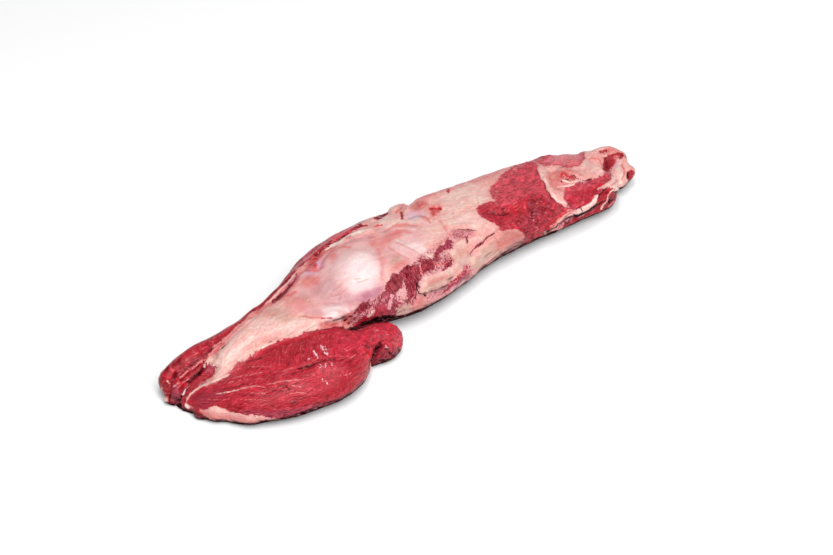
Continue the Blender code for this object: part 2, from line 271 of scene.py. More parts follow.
MIDDLE_FIELDS = [
    ("film", 0.8, 10, [
        (376, 226), (392, 220), (412, 221), (428, 226), (430, 240), (424, 256), (408, 262), (390, 268),
        (384, 262), (382, 246)]),
    ("strip fat", 0.8, 6, [
        (404, 200), (440, 184), (480, 170), (512, 160), (506, 172), (480, 180), (456, 188), (430, 196),
        (408, 204)]),
    ("pale cream", 0.6, 6, [(420, 204), (440, 196), (462, 188), (462, 194), (444, 200), (424, 207)]),
    ("cream", 0.9, 8, [
        (444, 196), (470, 184), (488, 188), (486, 200), (474, 208), (480, 220), (496, 228), (480, 229),
        (460, 228), (444, 224), (436, 210)]),
    ("pale cream", 0.7, 8, [(456, 208), (472, 206), (478, 220), (468, 226), (456, 224)]),
    ("pale cream", 0.7, 6, [(372, 222), (386, 216), (402, 217), (410, 222), (396, 228), (380, 226)]),
    ("cream", 0.8, 8, [(420, 228), (436, 222), (448, 230), (440, 244), (428, 246), (420, 240)]),
    ("pale film", 0.7, 8, [(408, 242), (424, 246), (434, 254), (428, 259), (416, 254)]),
    ("pale film", 0.4, 18, [(390, 234), (412, 234), (428, 246), (416, 258), (400, 256), (388, 244)]),
    ("rosy fat", 0.45, 8, [
        (386, 236), (396, 230), (404, 231), (398, 238), (386, 246), (378, 250), (378, 243)]),
    ("blush", 0.3, 6, [(388, 232), (398, 230), (402, 234), (390, 240), (382, 243)]),
    ("rosy fat", 0.4, 6, [(396, 224), (408, 226), (408, 232), (398, 232)]),
    ("buff", 0.7, 6, [(392, 256), (400, 255), (404, 262), (396, 266), (390, 262)]),
    ("rosy fat", 0.6, 6, [(392, 264), (404, 260), (410, 264), (402, 270), (394, 272)]),
    ("grey film", 0.9, 5, [(403, 216), (412, 212), (424, 212), (426, 217), (412, 220)]),
    ("rosy fat", 0.9, 5, [(404, 209), (412, 204), (426, 200), (428, 206), (416, 211)]),
    ("blush", 0.9, 3, [(429, 207), (440, 206), (442, 209), (436, 213), (434, 217), (430, 213)]),
    ("cream", 0.6, 8, [(450, 242), (466, 238), (474, 248), (472, 268), (458, 272), (449, 262)]),
    ("buff", 0.5, 7, [(454, 248), (466, 246), (473, 252), (470, 266), (458, 270), (451, 262)]),
    ("marbled", 1.0, 7, [
        (354, 316), (360, 303), (374, 298), (384, 291), (390, 280), (398, 270), (410, 264), (420, 256),
        (434, 246), (446, 236), (456, 240), (448, 252), (454, 262), (448, 272), (424, 280), (419, 294),
        (420, 304), (410, 314), (390, 322), (370, 330), (352, 332), (350, 326)]),
    ("pink fat", 0.5, 6, [
        (420, 262), (432, 250), (444, 240), (456, 238), (448, 250), (436, 262), (424, 270)]),
    ("marbled", 0.9, 5, [(450, 231), (462, 228), (476, 230), (470, 238), (460, 240), (452, 238)]),
    ("marbled", 0.9, 5, [(462, 266), (470, 262), (475, 270), (469, 280), (462, 277)]),
    ("dark muscle", 1.0, 5, [(358, 313), (359, 306), (364, 302), (369, 301), (369, 306), (364, 311)]),
    ("dark muscle", 1.0, 8, [
        (385, 291), (387, 281), (394, 274), (403, 275), (404, 289), (397, 296), (389, 295)]),
    ("dark muscle", 1.0, 7, [(401, 272), (405, 266), (414, 265), (419, 270), (417, 277), (405, 278)]),
    ("dark muscle", 0.9, 7, [(407, 276), (416, 275), (418, 284), (415, 295), (408, 292)]),
    ("dark muscle", 0.9, 8, [(418, 268), (422, 261), (430, 257), (435, 264), (430, 272), (421, 275)]),
    ("violet muscle", 0.8, 5, [(431, 261), (435, 253), (441, 245), (446, 244), (443, 252), (437, 261)]),
    ("dark muscle", 0.5, 4, [(433, 258), (436, 252), (442, 247), (440, 254)]),
    ("violet muscle", 1.0, 4, [(444, 247), (447, 240), (452, 241), (452, 247), (447, 250)]),
    ("dark muscle", 0.9, 5, [(443, 270), (446, 263), (451, 259), (454, 260), (450, 267), (445, 271)]),
    ("dark muscle", 0.8, 5, [(402, 300), (404, 293), (411, 293), (412, 301), (407, 303)]),
    ("muscle", 0.7, 6, [(372, 314), (376, 306), (384, 305), (388, 312), (380, 317)]),
    ("dark muscle", 0.7, 5, [(390, 314), (391, 305), (396, 304), (397, 313)]),
    ("film", 0.6, 4, [(396, 292), (402, 288), (407, 291), (406, 300), (400, 304), (396, 300)]),
    ("film", 0.5, 4, [(422, 276), (430, 272), (440, 268), (442, 272), (430, 278), (423, 280)]),
    ("violet muscle", 0.4, 7, [
        (376, 306), (380, 292), (388, 292), (400, 298), (404, 308), (392, 316), (380, 316)]),
    ("deep muscle", 0.8, 4, [
        (352, 325), (362, 318), (374, 316), (386, 317), (380, 322), (366, 327), (354, 330)]),
    ("violet muscle", 0.9, 5, [
        (440, 292), (448, 284), (456, 277), (466, 269), (468, 275), (460, 283), (450, 290), (442, 297)]),
    ("dark muscle", 0.5, 5, [(452, 281), (460, 274), (464, 277), (456, 284)]),
    ("cream", 1.0, 2.5, [
        (420, 290), (421, 282), (428, 277), (440, 273), (452, 269), (456, 273), (450, 279), (442, 286),
        (430, 291), (424, 294)]),
    ("buff", 0.9, 5, [(423, 289), (428, 283), (442, 277), (450, 274), (448, 280), (434, 288)]),
    ("veined fat", 0.8, 4, [(427, 291), (434, 286), (445, 284), (446, 290), (436, 296), (427, 296)]),
    ("rosy fat", 0.8, 5, [(418, 298), (428, 296), (436, 297), (426, 305), (416, 311), (410, 309)]),
    ("violet film", 0.35, 6, [
        (420, 296), (436, 290), (452, 284), (470, 270), (466, 280), (448, 294), (428, 304)]),
    ("salmon", 0.7, 5, [(420, 296), (430, 291), (444, 288), (450, 292), (436, 302), (420, 305)]),
    ("marbled", 0.7, 5, [(424, 294), (434, 290), (444, 288), (448, 293), (436, 302), (422, 304)]),
    ("buff", 0.9, 5, [(396, 309), (406, 304), (412, 308), (408, 314), (398, 316)]),
    ("buff", 1.0, 4, [
        (472, 268), (476, 258), (484, 248), (494, 240), (500, 236), (506, 246), (490, 258), (478, 268)]),
    ("cream", 0.4, 5, [(474, 266), (480, 256), (490, 247), (500, 241), (502, 245), (488, 255), (478, 266)]),
    ("rosy fat", 0.5, 6, [
        (474, 278), (484, 266), (498, 256), (510, 248), (522, 244), (506, 262), (486, 276)]),
    ("pink fat", 1.0, 3, [
        (492, 240), (500, 232), (512, 229), (522, 232), (526, 238), (518, 243), (506, 248), (496, 248)]),
    ("salmon", 0.85, 10, [(494, 242), (504, 231), (522, 231), (526, 238), (514, 247), (497, 250)]),
]
LOBE_FIELDS = [
    ("muscle", 1.0, 3, [
        (187, 400), (190, 395), (197, 390), (211, 384), (222, 378), (228, 373), (234, 366), (245, 360),
        (254, 353), (258, 350), (272, 344), (278, 341), (297, 336), (316, 330), (333, 328), (342, 327),
        (350, 330), (358, 329), (368, 325), (381, 321), (388, 320), (402, 322), (412, 338), (408, 352),
        (392, 368), (374, 374), (364, 392), (340, 412), (300, 424), (262, 434), (226, 432), (200, 417),
        (188, 405)]),
    ("fringe", 0.6, 7, [
        (206, 386), (216, 381), (226, 374), (236, 364), (252, 353), (266, 346), (260, 352), (248, 361),
        (236, 373), (224, 381), (210, 388)]),
    ("violet muscle", 0.5, 8, [(192, 398), (206, 392), (222, 388), (226, 396), (216, 404), (200, 408)]),
    ("deep muscle", 0.9, 8, [
        (222, 403), (250, 405), (285, 401), (320, 394), (350, 382), (368, 368), (366, 392), (340, 412),
        (300, 424), (262, 430), (226, 420)]),
    ("violet muscle", 0.8, 6, [
        (240, 410), (270, 411), (300, 408), (330, 401), (352, 390), (360, 380), (362, 392), (340, 410),
        (300, 422), (262, 420), (240, 416)]),
    ("deep muscle", 0.5, 6, [
        (264, 350), (286, 343), (310, 338), (314, 350), (306, 362), (286, 366), (268, 360)]),
    ("deep muscle", 0.7, 7, [
        (284, 372), (298, 368), (312, 362), (328, 357), (344, 357), (340, 361), (312, 370)]),
    ("deep muscle", 0.6, 10, [(328, 364), (350, 358), (372, 366), (364, 394), (336, 406), (320, 388)]),
    ("crimson", 0.9, 6, [
        (336, 334), (352, 332), (370, 327), (384, 321), (402, 326), (408, 338), (402, 346), (386, 345),
        (374, 352), (352, 354), (336, 350)]),
    ("bright muscle", 0.5, 6, [(316, 362), (330, 360), (344, 362), (342, 372), (328, 374), (316, 372)]),
    ("dark muscle", 0.8, 5, [
        (374, 356), (380, 348), (392, 350), (402, 348), (408, 352), (394, 366), (374, 374), (368, 368)]),
    ("pink fat", 1.0, 2.5, [
        (200, 409), (208, 408), (217, 405), (222, 409), (230, 412), (244, 413), (256, 416), (272, 418),
        (288, 419), (276, 426), (250, 430), (226, 428), (207, 417)]),
    ("rosy fat", 0.8, 6, [
        (200, 410), (212, 411), (232, 416), (256, 420), (278, 420), (256, 430), (226, 430), (204, 420)]),
    ("cream", 0.35, 4, [(206, 411), (214, 406), (221, 408), (224, 414), (212, 416)]),
]
TAIL_FIELDS = [
    ("bright muscle", 1.0, 3, [
        (512, 166), (520, 158), (540, 150), (560, 144), (576, 142), (588, 154), (585, 162), (578, 169),
        (562, 166), (546, 165), (539, 167), (541, 176), (548, 190), (556, 199), (566, 205), (572, 212),
        (560, 226), (552, 240), (530, 254), (522, 246), (526, 238), (524, 233), (515, 228), (502, 230),
        (498, 225), (490, 220), (480, 215), (475, 208), (480, 204), (495, 202), (490, 193), (492, 186),
        (500, 177)]),
    ("fringe", 0.5, 8, [
        (476, 210), (482, 204), (492, 200), (490, 190), (496, 182), (508, 172), (520, 162), (524, 168),
        (508, 180), (500, 192), (498, 204), (486, 210)]),
    ("pale muscle", 0.9, 5, [
        (543, 162), (552, 155), (566, 150), (578, 152), (584, 160), (578, 166), (562, 165), (546, 164)]),
    ("strip fat", 0.45, 5, [(552, 158), (566, 150), (578, 150), (582, 160), (572, 165), (556, 164)]),
    ("deep muscle", 0.7, 10, [
        (478, 208), (496, 206), (512, 206), (528, 196), (546, 196), (558, 203), (566, 212), (554, 230),
        (536, 246), (526, 240), (518, 228), (500, 228), (486, 216)]),
    ("dark muscle", 0.6, 8, [
        (524, 208), (530, 198), (542, 200), (546, 212), (540, 226), (532, 238), (526, 230)]),
    ("blood", 0.5, 7, [(508, 206), (520, 200), (528, 200), (526, 212), (514, 216), (506, 212)]),
    ("bright muscle", 1.0, 2.5, [
        (562, 190), (572, 186), (590, 181), (604, 175), (612, 172), (611, 180), (604, 184), (598, 190),
        (596, 200), (586, 208), (572, 210), (566, 204)]),
    ("muscle", 0.8, 5, [
        (564, 204), (572, 194), (588, 188), (602, 182), (606, 186), (598, 196), (586, 206)]),
    ("pink fat", 1.0, 2.5, [
        (538, 165), (556, 166), (572, 169), (580, 166), (588, 156), (598, 158), (604, 168), (603, 176),
        (590, 179), (578, 181), (576, 185), (564, 188), (562, 194), (564, 199), (568, 203), (566, 207),
        (559, 202), (551, 195), (546, 185), (541, 176), (538, 171)]),
    ("pale cream", 0.5, 6, [(580, 166), (588, 158), (598, 161), (602, 170), (598, 176), (586, 178)]),
    ("cream", 0.6, 5, [(541, 168), (552, 168), (556, 176), (552, 186), (546, 178)]),
    ("rosy fat", 0.8, 6, [(546, 174), (558, 171), (566, 180), (560, 192), (550, 186)]),
    ("serrated", 0.9, 4, [(558, 171), (568, 170), (576, 176), (576, 183), (564, 187), (557, 180)]),
    ("pink fat", 1.0, 2.5, [
        (585, 158), (584, 146), (592, 140), (604, 138), (622, 142), (630, 152), (618, 155), (606, 157),
        (602, 164), (594, 160)]),
    ("cream", 0.7, 4, [(587, 151), (596, 147), (600, 150), (598, 157), (590, 157)]),
    ("rosy fat", 0.7, 4, [(608, 148), (618, 149), (624, 154), (614, 156), (606, 154)]),
    ("deep muscle", 1.0, 2.5, [
        (603, 158), (608, 155), (616, 153), (624, 153), (622, 158), (615, 161), (611, 167), (607, 172),
        (603, 169)]),
    ("streak", 0.7, 3, [(612, 158), (618, 155), (622, 157), (616, 161)]),
    ("pink fat", 1.0, 2.5, [
        (611, 176), (614, 166), (618, 160), (625, 157), (640, 162), (640, 170), (630, 178), (626, 184),
        (624, 190), (616, 192), (610, 190), (606, 186), (611, 180)]),
    ("pale cream", 1.0, 3, [
        (603, 188), (610, 180), (614, 172), (620, 168), (624, 178), (622, 187), (612, 191)]),
    ("deep muscle", 1.0, 2.5, [(627, 180), (627, 173), (631, 169), (634, 172), (633, 180), (629, 183)]),
    ("strip fat", 0.9, 3, [(634, 168), (640, 170), (640, 184), (630, 188), (632, 180)]),
    ("deep muscle", 1.0, 2.5, [
        (596, 200), (602, 192), (608, 188), (618, 191), (630, 188), (630, 204), (608, 220), (584, 228),
        (584, 215), (596, 208)]),
    ("deep muscle", 1.0, 3, [
        (560, 232), (566, 224), (578, 218), (590, 214), (600, 206), (606, 220), (590, 236), (562, 248)]),
    ("strip fat", 0.9, 3, [(543, 236), (550, 229), (560, 224), (564, 228), (556, 236), (544, 242)]),
]
FIELDS = [
    ("marbled", 1.0, 2, [(140, 120), (660, 120), (660, 440), (140, 440)]),
    *HEAD_FIELDS, *COVER_FIELDS, *DOME_FIELDS, *CHAIN_FIELDS, *MIDDLE_FIELDS, *LOBE_FIELDS, *TAIL_FIELDS,
]

# Lines of the chart: ink, strength, softness, half width, and the paths drawn with it
# Cleft and hollow lines are painted shade in clefts, slits and gaps
HEAD_LINES = [
    ("pale cream", 1.0, 1.2, 0.9, [
        (228, 375), (220, 379), (212, 382), (203, 386), (195, 390), (190, 394), (187, 400)]),
    ("strip fat", 0.9, 1.2, 0.6, [(189, 396), (187, 400), (185, 406)]),
    ("sinew", 1.0, 1.4, 1.5, [(186, 405), (189, 407)]),
    ("strip fat", 0.8, 1.4, 0.9, [(190, 406), (193, 408)]),
    ("sinew", 0.8, 1.4, 0.8, [(210, 359), (206, 363), (203, 368)]),
    ("streak", 1.0, 1.4, 0.8, [(207, 358), (197, 364), (188, 371), (180, 377)]),
    ("streak", 0.8, 1.4, 0.6, [(214, 353), (204, 359), (196, 363)]),
    ("streak", 0.7, 1.4, 0.6, [(190, 378), (182, 383), (176, 390)]),
    ("streak", 0.6, 1.2, 0.5, [(228, 330), (216, 337), (204, 344)], [(182, 364), (190, 357), (198, 353)]),
    ("streak", 0.5, 1.2, 0.5, [(166, 372), (174, 364), (182, 358)]),
    ("cleft", 0.8, 1.8, 0.5, [(205, 355), (196, 362), (188, 368), (180, 375)]),
    ("cleft", 0.7, 1.8, 0.5, [(223, 342), (213, 349), (205, 354)]),
    ("cleft", 0.6, 1.6, 0.5, [(164, 372), (172, 365), (180, 359)]),
    ("cleft", 1.0, 1.8, 0.8, [(203, 367), (198, 373), (193, 377), (188, 381)]),
    ("hollow", 0.9, 1.6, 0.7, [(201, 370), (198, 373), (195, 375)]),
    ("hollow", 1.0, 2.0, 1.5, [(186, 388), (182, 392), (180, 398), (179, 404), (180, 409)]),
    ("cleft", 1.0, 1.5, 0.9, [(170, 384), (169, 392), (169, 401)]),
    ("hollow", 0.8, 1.4, 0.5, [(170, 390), (169, 399)]),
    ("cleft", 1.0, 1.8, 0.9, [(172, 380), (175, 377), (177, 373)]),
    ("cleft", 0.9, 1.6, 0.7, [(161, 380), (164, 378)]),
    ("cleft", 0.9, 2.0, 1.2, [(180, 410), (190, 411), (200, 415), (208, 419)]),
    ("hollow", 0.7, 2.0, 0.8, [(178, 412), (190, 415), (204, 421)]),
    ("sinew", 1.0, 1.2, 0.9, [(189, 384), (186, 387), (184, 391), (182, 395)]),
    ("strip fat", 1.0, 1.5, 0.7, [(173, 387), (178, 383)]),
    ("cleft", 0.8, 1.4, 0.5, [(221, 348), (226, 344)]),
    ("blush", 0.8, 1.4, 0.5, [(214, 352), (224, 343), (234, 334), (244, 325)]),
    ("sinew", 0.8, 1.4, 0.5, [(226, 342), (236, 333), (246, 324), (254, 318)]),
    ("strip fat", 0.9, 1.5, 1.0, [(159, 389), (160, 396), (164, 401)]),
    ("sinew", 0.8, 1.2, 0.6, [(164, 398), (167, 401)]),
    ("pink fat", 1.0, 1.5, 0.8, [(167, 381), (168, 383)]),
    ("cleft", 0.6, 1.4, 0.4, [(268, 343), (273, 341), (279, 341)]),
    ("sinew", 1.0, 1.0, 0.7, [(262, 348), (270, 345), (276, 342)]),
]
LOBE_LINES = [
    ("cleft", 1.0, 1.2, 0.6, [(299, 369), (308, 366), (318, 362), (328, 360), (336, 359)]),
    ("hollow", 0.8, 1.2, 0.4, [(306, 367), (316, 363), (326, 360)]),
    ("cleft", 1.0, 2.0, 1.4, [(380, 346), (376, 350), (374, 356), (371, 362)]),
    ("hollow", 0.9, 1.6, 0.8, [(378, 348), (375, 354), (372, 360)]),
    ("cleft", 0.8, 1.8, 0.8, [(374, 366), (382, 366), (392, 363)]),
    ("cleft", 0.6, 2.0, 0.8, [(364, 346), (369, 348), (374, 345)]),
    ("blood", 0.9, 2.0, 1.6, [(366, 351), (369, 356), (372, 353)]),
    ("cream", 0.9, 1.4, 0.6, [(217, 394), (224, 393), (232, 391), (241, 389)]),
    ("strip fat", 1.0, 1.2, 0.7, [(241, 389), (248, 387), (256, 386)]),
    ("streak", 1.0, 1.0, 0.6, [(256, 386), (265, 387)], [(267, 384), (277, 382), (287, 381)]),
    ("streak", 1.0, 1.0, 0.5, [(287, 381), (296, 380), (304, 380)], [(250, 393), (258, 393), (266, 393)]),
    ("streak", 0.9, 1.0, 0.5, [(291, 385), (298, 386), (304, 387)], [(291, 394), (299, 393), (307, 394)]),
    ("streak", 0.9, 1.2, 0.5, [(233, 378), (242, 376), (254, 374), (262, 373)]),
    ("streak", 0.8, 1.2, 0.5,
        [(226, 383), (238, 381), (248, 380)], [(248, 367), (262, 366), (274, 367)],
        [(300, 350), (302, 345)]),
    ("streak", 0.7, 1.2, 0.5,
        [(208, 400), (220, 400), (232, 398)], [(240, 399), (254, 400), (266, 400)],
        [(286, 352), (288, 347)]),
    ("cleft", 0.7, 1.2, 0.4, [(222, 390), (234, 387), (248, 384)], [(258, 389), (272, 388), (284, 387)]),
    ("cleft", 0.6, 1.2, 0.4, [(240, 395), (256, 396), (274, 396)], [(264, 379), (280, 376), (296, 373)]),
    ("cleft", 0.5, 1.2, 0.4,
        [(280, 391), (296, 389), (310, 386)], [(300, 399), (316, 396), (330, 391)],
        [(246, 362), (260, 358), (272, 356)]),
    ("hollow", 0.6, 1.5, 0.7, [(287, 387), (290, 390)]),
    ("hollow", 0.5, 1.5, 0.8, [(292, 402), (297, 402)]),
    ("hollow", 0.5, 1.4, 0.5, [(272, 391), (276, 392)]),
    # Painted highlights on the front lobe's wet muscle
    ("glint", 0.8, 2.4, 1.1, [(314, 351), (317, 357)]),
    ("glint", 0.35, 4.0, 2.4, [(322, 347), (327, 353)]),
    ("glint", 0.6, 2.0, 0.8, [(321, 346), (323, 350)], [(324, 353), (328, 355)]),
    ("glint", 0.6, 2.0, 0.6, [(325, 347), (327, 350)]),
    ("glint", 0.7, 1.8, 0.7, [(308, 360), (311, 358)]),
    ("glint", 0.6, 1.8, 0.7, [(322, 379), (323, 381)]),
    ("glint", 0.7, 2.0, 0.9, [(326, 381), (327, 384)]),
    ("glint", 0.3, 5.0, 2.6, [(320, 367), (334, 365)]),
    ("glint", 0.45, 1.8, 0.5, [(320, 365), (321, 370)], [(325, 363), (326, 368)], [(331, 362), (332, 367)]),
    ("glint", 0.4, 1.8, 0.5, [(337, 362), (338, 366)], [(316, 368), (317, 372)]),
    ("streak", 0.9, 1.2, 0.6,
        [(340, 376), (346, 375), (351, 373)], [(350, 358), (356, 355)], [(343, 349), (348, 351)]),
    ("glint", 0.8, 1.5, 0.9, [(386, 345), (388, 349)]),
    ("strip fat", 0.7, 1.5, 0.9, [(374, 330), (378, 331)]),
    ("streak", 0.8, 1.5, 0.7, [(392, 342), (396, 345)], [(383, 335), (388, 334)]),
    ("dark muscle", 0.9, 2.0, 0.7, [(310, 332), (320, 330), (331, 328), (340, 327), (350, 329)]),
    ("hollow", 1.0, 1.8, 1.2, [(350, 328), (357, 328), (364, 325)]),
    ("hollow", 1.0, 1.8, 2.3, [(362, 325), (371, 322), (378, 319), (385, 317)]),
    ("hollow", 1.0, 1.8, 1.3, [(384, 317), (394, 316)]),
    ("blood", 0.8, 1.5, 0.6, [(352, 332), (360, 330), (370, 327), (380, 323)]),
]
DOME_LINES = [
    ("violet film", 0.9, 2.2, 0.7, [(320, 266), (324, 259), (328, 254), (331, 251)]),
    ("violet film", 0.6, 2.5, 0.8, [(342, 246), (351, 240), (364, 237), (374, 237)]),
    ("blush", 0.7, 2.0, 0.6, [(304, 270), (312, 270), (318, 270), (322, 266)]),
    ("blush", 0.9, 1.4, 0.5, [(302, 316), (312, 317), (322, 318), (331, 318)]),
    ("blood", 0.9, 1.6, 0.7, [(322, 318), (331, 318)]),
    ("rosy fat", 0.3, 2.4, 0.8, [(326, 303), (338, 303), (348, 306), (352, 312)]),
    ("rosy fat", 0.5, 6.0, 1.6, [(372, 244), (379, 252), (382, 264), (382, 280)]),
    ("rosy fat", 0.6, 1.5, 0.5, [(357, 282), (363, 281), (368, 279)]),
    ("rosy fat", 0.5, 1.5, 0.4, [(355, 279), (360, 278)]),
    ("blush", 0.6, 2.4, 1.0, [(283, 297), (290, 295), (296, 292)]),
    ("sinew", 0.9, 1.0, 0.5, [(266, 304), (273, 298), (280, 291), (287, 284), (293, 277), (300, 270)]),
    ("sinew", 1.0, 1.0, 0.7, [(326, 250), (332, 246), (340, 242), (348, 236), (357, 233), (371, 230)]),
    ("strip fat", 0.9, 1.2, 0.6, [(318, 252), (326, 246), (336, 240), (346, 235)]),
    ("cleft", 0.8, 1.5, 0.5, [(310, 260), (316, 254), (321, 250), (328, 244), (338, 239), (348, 233)]),
    ("dark muscle", 0.95, 2.6, 1.1, [(272, 301), (279, 296), (286, 290), (291, 284)]),
    ("violet muscle", 0.9, 2.6, 0.8, [(291, 284), (295, 278), (297, 274)]),
    ("violet film", 0.6, 1.5, 0.6, [(286, 287), (292, 280), (296, 274)]),
    ("cleft", 0.9, 1.5, 0.5, [(271, 304), (280, 298), (287, 291)]),
    ("cleft", 0.7, 1.5, 0.5, [(250, 310), (262, 297), (272, 286), (282, 275), (290, 265)]),
    ("deep muscle", 1.0, 1.8, 1.0, [(352, 229), (359, 227), (367, 225)]),
    ("blood", 0.9, 1.8, 0.8, [(374, 227), (382, 225)]),
    ("rosy fat", 0.8, 2.0, 0.8, [(330, 251), (340, 247), (350, 247)]),
    ("cleft", 0.8, 1.0, 0.6, [(344, 321), (347, 319)], [(350, 317), (353, 316)], [(348, 324), (351, 321)]),
    ("cleft", 0.7, 1.0, 0.5, [(354, 320), (356, 317)]),
    ("dark muscle", 0.9, 2.0, 0.7, [(355, 313), (358, 309), (361, 304)]),
]
MIDDLE_LINES = [
    ("dark muscle", 1.0, 1.8, 1.0, [(375, 218), (381, 216), (386, 213)]),
    ("deep muscle", 1.0, 1.8, 1.3, [(401, 211), (402, 217)]),
    ("blush", 0.8, 1.8, 0.7, [(396, 213), (400, 208), (404, 205)]),
    ("blood", 0.9, 1.8, 0.8, [(431, 208), (437, 207), (441, 209)]),
    ("blood", 0.7, 1.8, 0.7, [(432, 210), (434, 215)]),
    ("blush", 1.0, 1.5, 0.6, [(418, 203), (419, 207), (423, 205), (422, 202)]),
    ("lilac film", 0.9, 1.5, 0.8, [(408, 215), (416, 212), (424, 212)]),
    ("violet film", 0.8, 1.5, 0.5, [(410, 218), (418, 215), (426, 217)]),
    ("rosy fat", 0.8, 2.0, 0.9, [(420, 215), (428, 219), (430, 222)]),
    ("blood", 1.0, 1.4, 1.0, [(448, 189), (449, 192)]),
    ("cleft", 0.8, 1.4, 0.4, [(446, 190), (449, 193)]),
    ("rosy fat", 0.8, 2.4, 0.9, [(384, 231), (394, 226), (406, 224), (418, 226)]),
    ("sinew", 0.7, 2.0, 0.7, [(386, 227), (398, 222), (412, 221), (428, 223)]),
    ("rosy fat", 0.7, 2.4, 0.8, [(390, 235), (402, 232), (412, 232)]),
    ("sinew", 0.6, 2.0, 0.6, [(392, 229), (404, 228), (416, 230)]),
    ("sinew", 0.5, 2.6, 0.7, [(396, 240), (406, 244), (418, 250), (430, 256)]),
    ("rosy fat", 0.4, 2.4, 0.8, [(396, 243), (406, 247), (418, 253)]),
    ("rosy fat", 0.6, 3.0, 0.8, [(388, 246), (398, 253), (408, 258)]),
    ("rosy fat", 0.6, 3.0, 1.0, [(440, 222), (446, 230), (450, 236)]),
    ("dark muscle", 1.0, 1.6, 1.0, [(467, 237), (468, 242)]),
    ("dark muscle", 1.0, 1.6, 1.1, [(476, 247), (481, 244)]),
    ("violet muscle", 1.0, 1.6, 0.6, [(471, 256), (474, 250), (482, 243), (488, 238), (495, 233)]),
    ("cleft", 0.6, 1.4, 0.4, [(482, 243), (488, 238), (495, 233)]),
    ("cleft", 0.7, 1.4, 0.4, [(453, 229), (458, 228), (464, 229), (474, 230)]),
    ("hollow", 0.9, 1.4, 0.5, [(420, 279), (418, 284), (418, 289), (420, 293), (426, 295)]),
    ("veil", 0.8, 3.0, 1.4, [(392, 296), (391, 302), (389, 308)]),
    ("veil", 0.8, 3.0, 1.2, [(404, 284), (404, 292), (406, 298)]),
    ("veil", 0.7, 3.0, 1.2, [(398, 272), (402, 268), (406, 264)]),
    ("cream", 0.8, 2.4, 1.0, [(368, 316), (374, 311)]),
    ("streak", 0.9, 1.8, 0.7, [(420, 266), (422, 274)], [(433, 262), (440, 266), (446, 262)]),
    ("streak", 0.8, 1.8, 0.6, [(390, 284), (394, 290)]),
    ("blush", 0.8, 1.8, 0.6, [(464, 266), (467, 272), (466, 278)]),
    ("rosy fat", 0.6, 2.4, 0.7, [(428, 284), (438, 280), (450, 275)]),
    ("violet muscle", 0.8, 2.4, 0.9, [(444, 291), (452, 284), (460, 278)]),
    ("streak", 0.8, 1.8, 0.6, [(446, 287), (456, 281), (462, 274)]),
]
